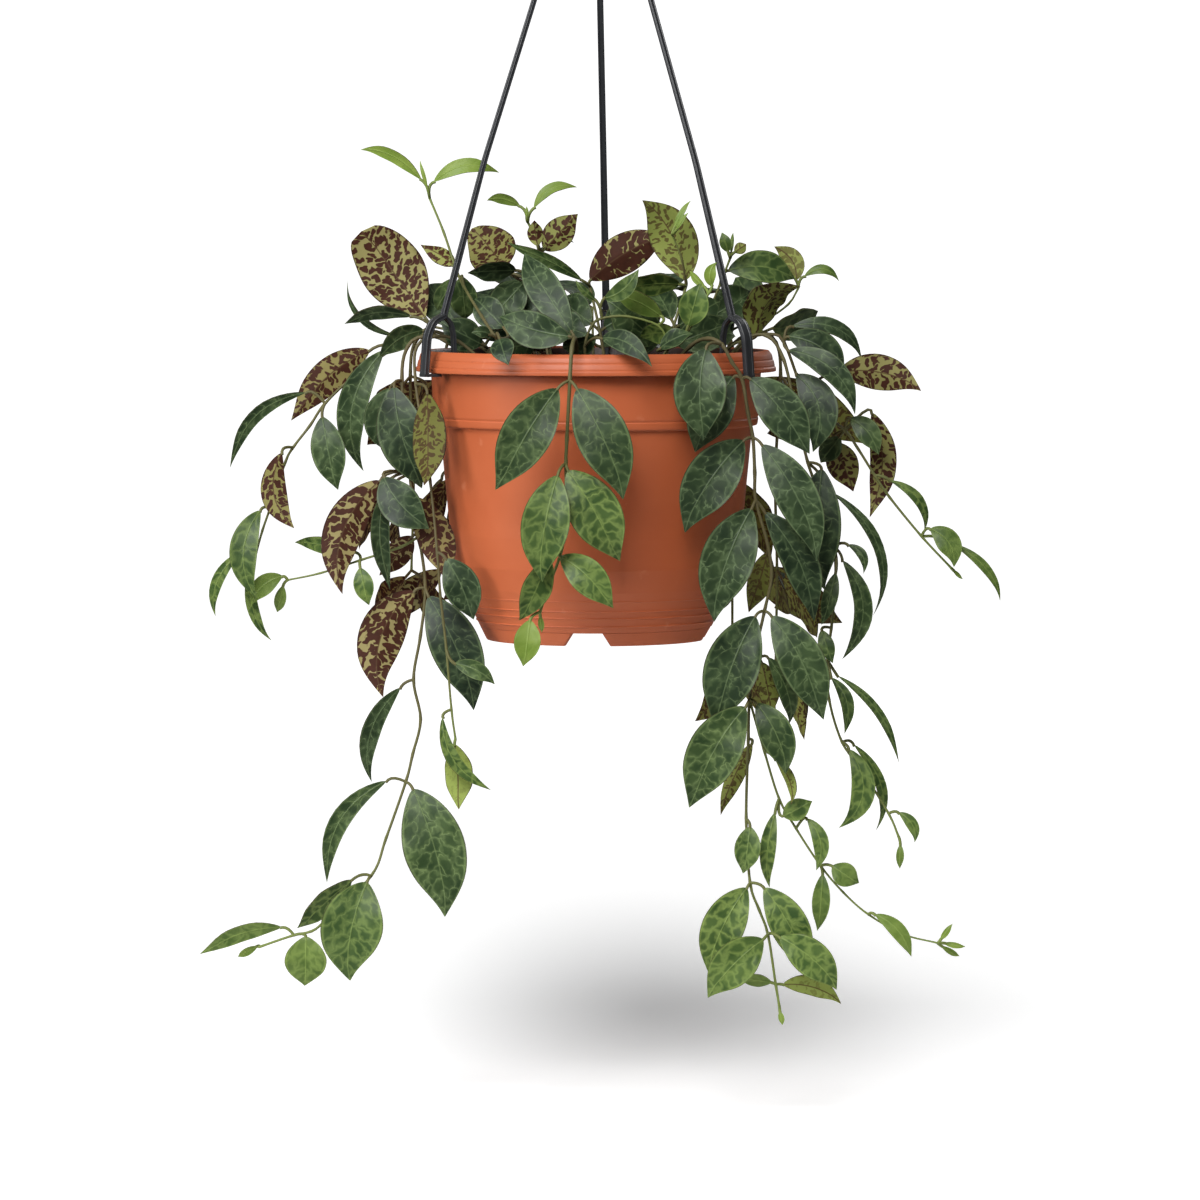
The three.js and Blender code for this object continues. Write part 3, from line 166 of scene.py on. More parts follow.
@dataclass(frozen=True)
class ShootRow:
    """A short upright shoot in the back of the crown.

    Args:
        name: The CAD node.
        angle: Its direction from the pot's axis, in degrees from +X towards the back.
        root: How far from the pot's axis it roots.
        lean: How much further out its tip stands.
        height: The height of its tip.
    """

    name: str
    angle: float
    root: float
    lean: float
    height: float


STEMS = (
    StemRow("stem_front_centre", 2.2, route=(
        (-8, -14, -60), (-10, 4, -74), (-10.5, 7, -85), (-12, 2, -95), (-13, -14, -98),
        (-14.5, -43, -96), (-15, -55.5, -95), (-15, -74, -94), (-17, -98, -93), (-22.5, -114, -92),
        (-28, -130, -92),
    ), leaves=(
        (2, -12, 10, -37, 49.5, 17, 2, 26, 0, 0),
        (2, -13, 8, -48, 19, 18, 2, 14, 0, -2),
        (4, -19, -18, -49, -69.5, 24.5, -3, -4, 0, 2),
        (4, -9.5, -18, 15, -73, 25.5, -3, -6, 0, -2),
        (6, -14, -59, 11, -105.5, 25.5, -4, -3, 0, -2),
        (6, -19, -61, -28, -114, 23.5, 0, 2, 0, 2),
        (8, -18, -102, 8, -128.5, 17, -3, -4, 0, -3),
        (8, -23, -102.5, -37.5, -134.5, 15, 1, 2, 20, 1),
        (10, -33, -134, -36, -157.5, 13, -2, -2, 0, 0),
        (10, -28, -132, -27, -141, 3, 0, -2, 0, 0),
    )),
    StemRow("stem_crown_tall", 1.8, route=(
        (-36, -14, -52), (-43, 2, -62), (-49.5, 7, -66), (-57, 18, -52), (-66, 33, -28),
        (-70, 42, -18), (-76, 60, -14), (-83, 77, -12),
    ), leaves=(
        (7, -87, 86, -117.5, 101.5, 7, 2, 10, 30, 6),
        (7, -81, 85, -48, 89, 8, 2, 4, 20, -5),
        (7, -84, 82, -88, 96, 2, 0, 0, 0, 0),
        (5, -71, 43, -88, 53, 9, 2, 8, 160, 2),
        (4, -67, 38, -65, 16, 14, 6, 4, 0, 0),
        (4, -71, 37, -80, 21, 10, 10, 10, 0, 0),
        (2, -48, 7, -44, -6, 12, -12, -12, 0, 0),
        (2, -53, 9, -62, 10, 6, 0, -4, 0, 1),
        (2, -46, 12, -64, 31, 19, 16, 14, 0, 0),
    )),
    StemRow("stem_crown_left", 2, route=(
        (-40, -14, -6), (-56, 2, -4), (-70, 10, -1), (-82, 13, 1),
    ), leaves=(
        (3, -85, 17, -116, 61, 32, 1, 10, 180, 0, 0.35),
        (3, -92, 18, -125.5, 13, 9, 4, 8, 40, 7),
        (3, -99, 8, -125.5, 35, 5, 6, 8, 50, -4),
        (2, -68, 13, -84, 34, 20, 8, 22, 0, 0),
        (1, -54, 6, -42, 22, 20, 8, 22, 0, 0),
        (1, -57, 4, -78, 15, 17, -14, -8, 0, 0),
        (3, -86, 11, -108, -3, 12, -6, -8, 20, 4),
    )),
    StemRow("stem_crown_mid", 1.8, route=(
        (-22, -14, -24), (-26, 12, -22), (-30, 36, -19), (-28, 51, -16), (-34, 65, -14),
    ), leaves=(
        (4, -38, 73, -54.5, 76, 6, 0, 4, 30, 3),
        (4, -31, 72, -9, 82, 6, 0, 4, 30, -4),
        (4, -34.5, 67, -34.5, 73, 2, 0, 0, 0, 0),
        (3, -29, 53, -31, 66, 8, -4, -2, 170, 0),
        (3, -26, 51, -9.5, 69.5, 15, 2, 6, 180, 0),
        (3, -22, 53, -11, 54.5, 4, 8, 6, 40, -2),
        (2, -45, 42, -61, 62, 25, 6, 26, 180, 0, 0.25),
        (2, -40, 41, -64, 40, 13, -4, -4, 40, 2),
        (2, -36, 35, -54, 15, 18, -2, -4, 0, 0),
        (1, -24, 14, -4, 8, 18, 2, -14, 30, 0),
        (1, -20, 20, -39, 33, 16, 10, 8, 0, 0),
        (1, -33, 17, -63, 29, 16, 16, 20, 0, 0),
        (1, -30, 6, -50, 2, 18, -6, -14, 20, 0),
    )),
    StemRow("stem_crown_centre", 2, route=(
        (6, -14, -26), (2, 10, -27), (-3, 33, -26),
    ), leaves=(
        (2, -3, 36, 37, 59, 20, -2, 6, 180, -3),
        (2, -7, 36, -45.5, 54, 7, -6, -2, 30, 4),
        (1, 4, 12, 26, 26, 18, 2, 8, 0, 0),
        (1, -2, 14, -18, 26, 18, 4, 10, 0, 0),
        (1, 0, 8, -17, 3, 15, 10, 16, 20, 0),
        (1, 6, 6, 34, 9, 18, 10, 18, 0, 0),
    )),
    StemRow("stem_crown_arch", 1.6, route=(
        (-4, -14, -62), (-5.5, 3, -68), (-2, 13.5, -68), (3, 17, -68), (15.5, 18, -68),
        (31, 13.5, -66), (36, 5, -64),
    ), leaves=(
        (3, 4, 27, 21, 42, 9, -2, -4, 0, 3),
        (3, 0, 26, -10.5, 36, 4, 0, 0, 20, 0),
        (1, 3, 7, 28, -6, 11, -8, -16, 0, -4),
        (5, 33, 18, 8, 29.5, 12, 8, 4, 30, 3),
    )),
    StemRow("stem_crown_right", 2, route=(
        (32, -14, -34), (38, 10, -33), (45, 33, -31),
    ), leaves=(
        (2, 45, 36, 24, 76.5, 23, 0, 8, 180, 4),
        (2, 42, 34, 9.5, 30, 14, -3, -4, 40, 4),
        (1, 41, 13, 62, 26, 18, 4, 6, 0, 0),
        (1, 31, 5, 6, 27, 22, 2, 6, 0, 0),
        (1, 44, 7, 70, 9, 17, 10, 14, 0, 0),
        (1, 38, 16, 26, 34, 16, 10, 14, 0, 0),
    )),
    StemRow("stem_crown_sprig", 1.2, joins="stem_crown_right", route=(
        (45, 33, -31), (43, 46, -38), (38, 59, -41),
    ), leaves=(
        (2, 39, 62, 47, 76, 3, 0, 2, 20, 0),
        (2, 40, 61, 46, 70, 2.4, -2, -2, 20, 0),
    )),
    StemRow("stem_crown_young", 1.6, route=(
        (28, -14, -54), (36, 2, -60), (45, 9, -62), (56, 29, -58),
    ), leaves=(
        (2, 46, 13, 52, 35, 15, -3, -2, 0, 0),
        (2, 41, 10, 22, 8, 12, 4, 8, 30, 2),
        (1, 40, 4, 68, 15, 19, 10, 6, 0, 0),
        (1, 32, 2, 52, 12, 15, -4, -2, 20, 0),
        (3, 58, 33, 60, 45, 6, 0, 0, 0, -2),
        (3, 55, 32, 47, 41, 4, 0, 2, 30, 0),
    )),
    StemRow("stem_right_shoot", 1.8, route=(
        (44, -14, -6), (54, 14, -8), (62, 34, -10), (67, 47, -10),
    ), leaves=(
        (3, 66, 50, 63, 60, 6, 0, 0, 0, 0),
        (3, 69, 50, 75, 54, 6, -2, -2, 180, 0),
        (3, 67.5, 49, 68.5, 60, 2, 0, 0, 0, 0),
        (2, 66, 41, 99.5, 36, 17, 2, 12, 20, -3),
        (1, 58, 18, 78, 30, 20, 4, 10, 0, 0),
    )),
    StemRow("stem_right_crown", 2, route=(
        (54, -14, 4), (66, 2, 2), (76, 7, 0),
    ), leaves=(
        (2, 80, 8, 101, 34, 26, -6, -4, 180, -4),
        (2, 88, 12, 111, 21, 22, 6, 10, 0, 0),
        (1, 66, 6, 57, 24, 16, 8, 12, 0, 0),
    )),
    StemRow("stem_right_tip", 1.6, route=(
        (42, -14, 5), (66, 10, 11), (84, 16, 12), (96, 24, 10), (101, 32, 9),
    ), leaves=(
        (4, 100, 36, 88.5, 52.5, 11, 0, 4, 180, 4),
        (4, 104, 38, 121.5, 36, 5, 0, 2, 20, -4),
        (2, 82, 20, 70, 38, 18, 6, 14, 0, 0),
    )),
    StemRow("stem_right_outer", 1.8, route=(
        (56, -14, -14), (76, 6, -14), (87, 9, -14), (94, 5, -14), (104.5, -21.5, -12),
        (115, -32, -10), (124.5, -39, -8), (131, -48, -8), (139.5, -61.5, -8), (147, -72.5, -8),
        (163, -92, -8), (178, -108, -8),
    ), leaves=(
        (3, 98, 13, 133.5, -2.5, 9, 6, 8, 30, -6),
        (3, 96, 8, 124, -12, 16, -2, 0, 0, -5),
        (3, 96, 1, 130.5, -30, 13, -8, -6, 20, -6),
        (4, 121, -10, 162.5, -18, 18, 0, 4, 180, -4),
        (4, 100, -11, 107.5, -50, 19, -6, -6, 0, -8),
        (6, 122, -42, 112, -55, 11, 4, 4, 0, 0),
        (6, 119, -45, 129.5, -69.5, 16, 6, 6, 180, 0),
        (6, 127, -33, 141, -51.5, 12, -3, -3, 0, -3),
        (6, 138, -30, 136, -82.5, 14, 4, 2, 160, -5),
        (8, 147, -64, 165.5, -90, 5.5, 0, 2, 20, -5),
        (10, 167, -88, 179.5, -107, 12, 0, -2, 0, -4),
        (10, 179, -96, 203.5, -124, 5, 2, 2, 20, -3),
        (11, 179, -109, 184, -114, 2, 0, 0, 0, 0),
    )),
    StemRow("stem_right_mid", 1.8, route=(
        (58, -14, -26), (74, 6, -27), (86, 8, -28), (94, -4, -30), (100, -30, -32),
        (106, -55, -32), (113, -75, -32), (119, -97, -32), (120, -115, -32), (118, -138, -32),
        (116, -154, -32), (117, -174, -32), (123.5, -195.5, -32), (133, -209, -32),
        (147, -231.5, -32), (152, -243, -32),
    ), leaves=(
        (5, 113, -58, 113, -119, 23, 0, 0, 0, 2),
        (5, 118, -70, 141, -131.5, 6, 6, 6, 30, -9),
        (7, 123.5, -104, 122.5, -154, 10, 2, 2, 20, -9),
        (7, 120, -110, 113.5, -136.5, 8, -4, -2, 0, 0),
        (7, 126, -96, 134, -110, 5, 2, 2, 20, -3),
        (9, 113, -139, 118.5, -156, 8, -4, -2, 0, 0),
        (10, 118, -163, 124, -191, 7, -2, 0, 20, -4),
        (10, 121, -162, 151.5, -206.5, 5, 4, 4, 30, -4),
        (12, 127, -199, 123, -239, 12, -2, 0, 0, -9),
        (12, 129.5, -197, 142.5, -241, 6, 3, 3, 30, -5),
        (14, 152, -231, 160.5, -246, 6, 0, 0, 0, -3),
        (15, 153, -247, 152.5, -259.5, 4, 0, 0, 0, 0),
    )),
    StemRow("stem_right_front", 2, route=(
        (32, -14, -48), (47, 3, -58), (56, 7, -66), (63, 4, -72), (68, -5, -72), (73, -13, -70),
        (76, -30, -68), (78.5, -42.5, -67), (79.5, -60, -66), (80, -74, -65), (86, -96, -64),
        (88, -112, -63), (84.5, -129.5, -62), (79, -155, -61), (77, -174, -60), (76.5, -194, -60),
        (75.5, -234, -60), (77.5, -266.5, -60), (82, -280, -60), (86.5, -292.5, -60),
        (90.5, -318, -60), (92.5, -330, -60),
    ), leaves=(
        (3, 55, 2, 55, -44, 26, -8, -4, 0, 3),
        (5, 69, -12, 50.5, -50.5, 22, 2, 2, 0, 3),
        (5, 77, -13, 106, -51.5, 21.5, -3, -2, 0, -3),
        (7, 74, -44, 43.5, -89.5, 25.5, -2, -6, 0, 3),
        (7, 83, -46, 112, -104, 21, -3, -2, 0, -4),
        (9, 78, -78, 58, -134.5, 26.5, -3, -4, 0, 3),
        (9, 84.5, -80, 108.5, -135.5, 19, 2, 4, 20, -4),
        (12, 80, -132, 60.5, -188, 27, -4, -3, 0, 3),
        (12, 88, -132, 113, -185, 22.5, -2, 0, 0, -4),
        (14, 75, -177, 48, -228.5, 26, -4, -3, 0, 4),
        (14, 80.5, -176, 96, -211.5, 17, -3, -2, 0, -3),
        (17, 76, -269, 56, -312.5, 21, -2, -2, 0, 3),
        (17, 84.5, -269, 106, -312, 19, -1, 0, 0, -3),
        (19, 84, -294, 55.5, -323, 21, -3, -3, 0, 2),
        (19, 92, -293, 121.5, -319, 18, -2, 0, 0, -3),
        (20, 88.5, -317, 71, -314.5, 7, 0, 0, 20, 1),
        (20, 94, -318.5, 124, -327.5, 11, -1, 0, 160, -2),
        (21, 92.5, -331, 94, -338, 3, 0, 0, 0, 0),
        (10, 86, -100, 76, -130, 13, 6, 4, 160, 0),
        (13, 83, -155, 88, -182, 12, 5, 4, 160, 0),
        (13, 86, -152, 98, -186, 10, 8, 4, 20, -2),
        (15, 78.5, -196, 62, -232, 9, 6, 2, 160, 2),
        (16, 77.5, -238, 74.5, -262, 13, -2, -1, 0, 0),
    )),
    StemRow("stem_right_low", 1.4, joins="stem_right_front", route=(
        (77, -174, -60), (84.5, -200, -54), (92, -224, -50), (100.5, -239, -48), (113, -258, -46),
        (124.5, -271.5, -46), (137, -282.5, -46), (154.5, -292.5, -46), (172, -297, -46),
    ), leaves=(
        (1, 86, -198, 100, -193, 6, -2, -2, 20, -2),
        (1, 90, -204, 98.5, -226.5, 6, -3, -2, 150, -2),
        (2, 90, -231, 86.5, -269, 8, -3, -2, 0, 2),
        (2, 94, -233, 108.5, -225, 11, -2, -2, 0, 0),
        (3, 106, -234, 110, -260.5, 8, -3, -2, 0, -5),
        (4, 118.5, -257.5, 132, -266.5, 12, -1, 0, 0, 0),
        (4, 114, -262, 112, -291, 9, -2, 0, 0, 0),
        (6, 140, -282, 158, -304, 8, -1, 0, 0, -4),
        (8, 173, -295, 179, -286.5, 3, 0, 0, 0, 0),
        (8, 175, -297, 186, -299, 3, 0, 0, 0, 0),
        (8, 174, -299, 183.5, -305, 3, 0, 0, 0, 0),
    )),
    StemRow("stem_left_long", 2, route=(
        (-50, -14, -10), (-74, 5, -12), (-86, 8, -13), (-94, 3, -14), (-97, -14, -15),
        (-93, -60, -19), (-88.5, -92, -20), (-85.5, -118, -20), (-88, -142, -20),
        (-91.5, -164, -20), (-88, -184, -20), (-92, -201.5, -20), (-95.5, -215.5, -20),
        (-105.5, -244, -22), (-113, -263, -24), (-135.5, -285, -26), (-143, -291, -26),
        (-152, -293, -26), (-169.5, -299, -26),
    ), leaves=(
        (4, -103, -18, -104, -50, 15, 4, 2, 0, 5),
        (4, -101, -17, -86, -68, 24, -8, -6, 0, 3),
        (5, -108, -64, -128, -120, 20, 0, 2, 180, 9),
        (5, -104, -66, -101.5, -119, 10, -5, -3, 20, 7),
        (5, -106, -62, -82.7, -87.5, 20, -6, -7, 0, 3),
        (5, -91, -72, -69.5, -124, 23, -5, -6, 180, -2),
        (6, -92, -92, -108, -112, 13, 6, 6, 180, 0),
        (7, -91, -119.5, -108, -172.5, 23, -1, -2, 180, 9),
        (7, -84, -122, -60, -179, 25, -3, -4, 0, -3),
        (9, -98, -168, -113.5, -215.5, 10, 0, 2, 20, 9),
        (12, -105, -215, -134, -267.5, 10, -1, 0, 0, 11),
        (12, -92, -219, -74.5, -283.5, 31, -4, -3, 0, -3),
        (14, -115, -266, -125, -316, 31, -5, -3, 0, 3),
        (14, -123, -266, -150, -291.5, 13, 4, 3, 30, 3),
        (17, -158, -289, -199, -304, 9, 0, 0, 20, 6),
        (17, -146, -294, -146.5, -320, 21, -4, -2, 0, 0),
        (18, -170.5, -299, -181, -305, 4, 0, 0, 0, 0),
    )),
    StemRow("stem_left_side", 1.4, joins="stem_left_long", route=(
        (-88.5, -92, -20), (-98, -97.5, -17), (-118, -104, -14), (-138, -110.5, -14),
        (-154.5, -114, -14),
    ), leaves=(
        (4, -157, -112, -173, -126.5, 10, -1, 0, 0, 3),
        (4, -157, -117, -160, -131, 6, -1, 0, 0, 0),
        (2, -120.5, -100, -151, -94.5, 9, 7, 8, 20, 2),
        (2, -118, -107.5, -114, -126.5, 10, -3, -2, 0, 0),
    )),
    StemRow("stem_left_inner", 1.8, route=(
        (-46, -14, -26), (-68, 5, -28), (-80, 8, -29), (-89.5, 3, -30), (-90, -16, -33),
        (-83, -64, -42), (-79.5, -100, -46), (-78, -121.5, -46), (-76.5, -135, -46),
        (-75, -149, -46), (-72.5, -179, -46), (-70.5, -194, -46),
    ), leaves=(
        (4, -84, -20, -84, -66, 18, -4, -4, 160, 1),
        (6, -75, -103, -62, -134, 18, 2, 2, 0, -2),
        (9, -71, -156, -50.5, -166, 9, -2, -2, 0, -2),
        (10, -77, -183, -51.5, -219, 7, -2, -2, 20, 9),
        (11, -71, -196.5, -69.5, -229.5, 15, -1, -1, 160, 0),
    )),
    StemRow("stem_left_outer", 1.8, route=(
        (-50, -14, 10), (-74, 6, 8), (-87, 9, 6), (-98, 4, 4), (-120.5, -11.5, 0),
        (-135.5, -25.5, -4), (-143, -36.5, -6), (-151.5, -47.5, -8), (-155.5, -55, -9),
        (-163, -77.5, -10), (-167, -89, -10), (-170.5, -101.5, -10),
    ), leaves=(
        (3, -113, 1, -151.5, -35, 17, 2, 4, 180, 5),
        (3, -106, 1, -118, -59.5, 15, -6, -4, 0, 10),
        (5, -145, -20, -182, -59, 7, 0, 2, 20, 12),
        (5, -137, -32, -130, -69, 17, -3, -3, 0, 0),
        (7, -157, -50, -149.5, -87.5, 13, -4, -3, 180, 8),
        (9, -168, -79, -170.5, -123, 14, -4, -3, 0, 7),
        (11, -178, -100, -191.5, -132, 6, 0, 2, 0, 5),
        (11, -173, -107, -164, -145.5, 6, -1, 0, 0, 4),
    )),
)

REAR_STEMS = (
    RearRow("stem_rear_right_side", angle=18, root=52, hang=165, spacing=49),
    RearRow("stem_rear_right", angle=44, root=56, hang=162, spacing=48),
    RearRow("stem_rear_centre_right", angle=70, root=54, hang=108, spacing=46),
    RearRow("stem_rear_centre", angle=94, root=58, hang=98, spacing=42),
    RearRow("stem_rear_centre_left", angle=118, root=54, hang=108, spacing=46),
    RearRow("stem_rear_left", angle=142, root=56, hang=120, spacing=48),
    RearRow("stem_rear_left_side", angle=163, root=52, hang=140, spacing=49),
)

REAR_SHOOTS = (
    ShootRow("shoot_rear_right", angle=52, root=34, lean=20, height=18),
    ShootRow("shoot_rear_centre", angle=92, root=36, lean=18, height=20),
    ShootRow("shoot_rear_left", angle=134, root=34, lean=20, height=18),
    ShootRow("shoot_middle", angle=20, root=14, lean=6, height=18),
    ShootRow("shoot_middle_left", angle=169, root=20, lean=8, height=18),
)

LEAF_SEED = 7


@dataclass(frozen=True)
class Leaf:
    """One leaf, in millimetres from the top of the rim.

    Args:
        node: Where its petiole leaves the stem.
        base: The base of its blade.
        tip: The tip of its blade.
        width: The blade's greatest width.
        turn: How far the blade is turned about its length, in degrees.
        bend: How far its middle stands to one side.
        blunt: How much blunter its ends are than the others'.
        facing: The direction that its upper face is turned from.
        kept: Whether it stands in the photograph, so that it is never left out.
        youth: 1 for the youngest leaves and 0 for the full-grown ones.
        red: How much of its underside is maroon.
    """

    node: Array
    base: Array
    tip: Array
    width: float
    turn: float
    bend: float
    blunt: float
    facing: Array
    kept: bool
    youth: float
    red: float

    def frame(self) -> tuple[Array, Array]:
        """The blade's own directions.

        Returns:
            The direction across the blade, and the one up from its upper face.
        """
        axis = unit(self.tip - self.base)
        side = unit(np.cross(axis, self.facing))
        outward = np.cross(side, axis)
        turn = math.radians(self.turn)
        return side, outward * math.cos(turn) - side * math.sin(turn)

    def surface(self, along: Array, across: Array, kept: Array | float = 1.0) -> Array:
        """Points of the blade: the chord from base to tip, arched up and bent to one side by
        a parabola, with the outline's half width spread to both sides and folded up.

        Args:
            along: Shares of the length, from the base at 0 to the tip at 1.
            across: Shares of the half width, from -1 to 1.
            kept: How much of its half width the blade keeps at each share of its length.

        Returns:
            Points of shape (along, across, 3).
        """
        side, up = self.frame()
        chord = self.tip - self.base
        arch = BLADE_ARCH * np.linalg.norm(chord)
        share = along[:, None]
        rise = 4.0 * share * (1.0 - share)
        slope = 4.0 * (1.0 - 2.0 * share)
        middle = self.base + chord * share + up * arch * rise + side * self.bend * rise
        tangent = chord + up * arch * slope + side * self.bend * slope
        spread = np.cross(tangent, up)
        spread = spread / np.linalg.norm(spread, axis=1, keepdims=True)
        half = (self.width / 2.0 * outline(along, self.blunt) * kept)[:, None, None]
        points = middle[:, None] + spread[:, None] * across[None, :, None] * half
        return points + up * (BLADE_FOLD * np.abs(across)[None, :, None] * half)


@dataclass
class Stem:
    """A stem with its leaves, in millimetres from the top of the rim.

    Args:
        name: The CAD node, or the branch's own name.
        thickness: The stem's thickness at its root.
        route: Points of its middle line, one a row.
        leaves: Its leaves.
        joins: The stem that this one branches from.
    """

    name: str
    thickness: float
    route: Array
    leaves: list[Leaf]
    joins: str = ""


def unit(vector: Array) -> Array:
    """The vector, or each row of vectors, at length 1."""
    return vector / np.linalg.norm(vector, axis=-1, keepdims=True)


def outline(along: Array, blunt: float) -> Array:
    """The blade's outline: a sine over a skewed share of its length, raised to a power. A
    blunt blade is skewed more, and its power falls towards its tip.

    Args:
        along: Shares of the length, from the base at 0 to the tip at 1.
        blunt: How much blunter the blade's ends are than the others'.

    Returns:
        The half width at each share, over the widest one.
    """
    skew = OUTLINE_SKEW + BLUNT_SKEW * blunt
    swell = np.maximum(np.sin(np.pi * np.power(along, skew)), 0.0)
    return np.power(swell, OUTLINE_POWER - BLUNT_POWER * blunt * along)


def drawn_out(along: Array, blunt: float) -> Array:
    """How a blade's tip is drawn out: it keeps 1 less a share of the squared run past where
    the drawing out starts. A blunt blade keeps more.

    Args:
        along: Shares of the length, from the base at 0 to the tip at 1.
        blunt: How much blunter the blade's ends are than the others'.

    Returns:
        How much of its half width it keeps at each share.
    """
    run = np.clip((along - DRAWN_START) / DRAWN_RUN, 0.0, 1.0)
    return 1.0 - DRAWN_SHARE * max(0.0, 1.0 - DRAWN_BLUNT * blunt) * run ** 2


def seen(x: float, height: float, depth: float) -> Array:
    """A place in true coordinates from where it is seen: it lies further from the view's
    axis by the ratio of its own distance to that of the pot's axis.

    Args:
        x: How far right of the pot's axis it is seen.
        height: How high it is seen.
        depth: How far behind the pot's axis it is.

    Returns:
        The place.
    """
    scale = (VIEW_DISTANCE + depth) / VIEW_DISTANCE
    level = VIEW_HEIGHT + (height - VIEW_HEIGHT) * scale - VIEW_ZERO
    return np.array([x * scale, depth, level])


def outwards(angle: float) -> Array:
    """The level direction at an angle in degrees from +X."""
    return np.array([math.cos(math.radians(angle)), math.sin(math.radians(angle)), 0.0])


def arm_direction(turn: float) -> Array:
    """The level direction at a turn in degrees from the front."""
    return np.array([math.sin(math.radians(turn)), -math.cos(math.radians(turn)), 0.0])


def place(outward: Array, radius: float, height: float) -> Array:
    """A place at a radius in a level direction, and at a height."""
    return outward * radius + UP * height


class Draws:
    """Repeatable draws between 0 and 1: the mulberry32 generator.

    Args:
        seed: Where the sequence starts.
    """

    MASK = 0xFFFFFFFF
    STEP = 0x6D2B79F5
    RANGE = 4294967296.0

    def __init__(self, seed: int) -> None:
        """Starts the sequence."""
        self.state = seed

    def __call__(self) -> float:
        """The next draw: the state steps on, and its bits are mixed twice.

        Returns:
            A number from 0 up to 1.
        """
        self.state = (self.state + self.STEP) & self.MASK
        mixed = ((self.state ^ (self.state >> 15)) * (1 | self.state)) & self.MASK
        product = ((mixed ^ (mixed >> 7)) * (61 | mixed)) & self.MASK
        mixed = ((mixed + product) & self.MASK) ^ mixed
        return (mixed ^ (mixed >> 14)) / self.RANGE


def smooth_route(points: Array, longest: float) -> Array:
    """A route through given points by uniform Catmull-Rom spans: each span is a cubic
    whose slope at a point is half the step between that point's neighbours.

    Args:
        points: The given points, one a row.
        longest: The longest step of the route.

    Returns:
        The route's points, one a row.
    """
    first = 2.0 * points[0] - points[1]
    last = 2.0 * points[-1] - points[-2]
    padded = np.vstack([first, points, last])
    route = [points[:1]]
    for i in range(len(points) - 1):
        before, start, end, after = padded[i:i + 4]
        steps = math.ceil(float(np.linalg.norm(end - start)) / longest)
        t = (np.arange(1, steps + 1) / steps)[:, None]
        leave = 0.5 * (end - before)
        arrive = 0.5 * (after - start)
        square = -3.0 * start + 3.0 * end - 2.0 * leave - arrive
        cube = 2.0 * start - 2.0 * end + leave + arrive
        route.append(start + leave * t + square * t ** 2 + cube * t ** 3)
    return np.vstack(route)


class Space:
    """A count of what lies in and beside each small cell of the space round the plant."""

    CELL = 2.5
    LOW = np.array([-260.0, -170.0, -370.0])
    CELLS = (208, 136, 200)

    def __init__(self) -> None:
        """Starts with every cell empty."""
        self.counts = np.zeros(int(np.prod(self.CELLS)), dtype=np.int32)

    def cells(self, points: Array) -> Array:
        """The cell of each point."""
        i, j, k = np.floor((points - self.LOW) / self.CELL).astype(np.int64).T
        return (i * self.CELLS[1] + j) * self.CELLS[2] + k

    def add(self, points: Array, amount: int) -> None:
        """Adds an amount in the cell of each point and in the 26 cells round it.

        Args:
            points: The points, one a row.
            amount: The amount, below 0 to take it away.
        """
        cells = self.cells(points)
        for dx in (-1, 0, 1):
            for dy in (-1, 0, 1):
                for dz in (-1, 0, 1):
                    step = (dx * self.CELLS[1] + dy) * self.CELLS[2] + dz
                    np.add.at(self.counts, cells + step, amount)

    def holds(self, points: Array) -> Array:
        """Whether something lies in or beside the cell of each point."""
        return self.counts[self.cells(points)] > 0


# The pot's outer wall from its foot to the underside of its rim, as [radius, height]
POT_WALL = np.array([
    [FOOT_RADIUS, -POT_HEIGHT], [56.4, -141.5], [60.9, -132.0], [67.2, -117.5],
    [70.6, -106.5], [73.0, -91.0], [78.2, -37.6], [80.6, -36.8], [81.2, -33.2],
    [82.5, -RIM_DEPTH],
])
CLEAR_OF_POT = 2.0
RIM_INNER = 80.5


def in_pot(points: Array) -> Array:
    """Whether a leaf may not pass through each place, as the pot or the soil is there.

    Args:
        points: The places, one a row.

    Returns:
        True for each place that is in the pot or the soil, or nearly touches them.
    """
    radius = np.hypot(points[:, 0], points[:, 1])
    height = points[:, 2]
    wall = np.interp(height, POT_WALL[:, 1], POT_WALL[:, 0])
    wall = np.where(height > -RIM_DEPTH, RIM_RADIUS, wall)
    level = (height <= CLEAR_OF_POT) & (height >= -POT_HEIGHT - CLEAR_OF_POT)
    inside = radius <= wall + CLEAR_OF_POT
    solid = (height < SOIL_TOP + CLEAR_OF_POT) | (radius > RIM_INNER - CLEAR_OF_POT)
    return level & inside & solid


# What a leaf may change to clear its neighbours: its size, the lean of its tip in millimetres,
# its turn in degrees and its push forward or back in millimetres
MOVE_SIZES = (1.0, 0.8, 0.6)
MOVE_LEANS = (0, -5, 5, -10, 10, -15, 15, -21, 21, -28, 28)
MOVE_TURNS = (0, 25, -25, 50, -50)
MOVE_PUSHES = (0, -4, 4, -8, 8)


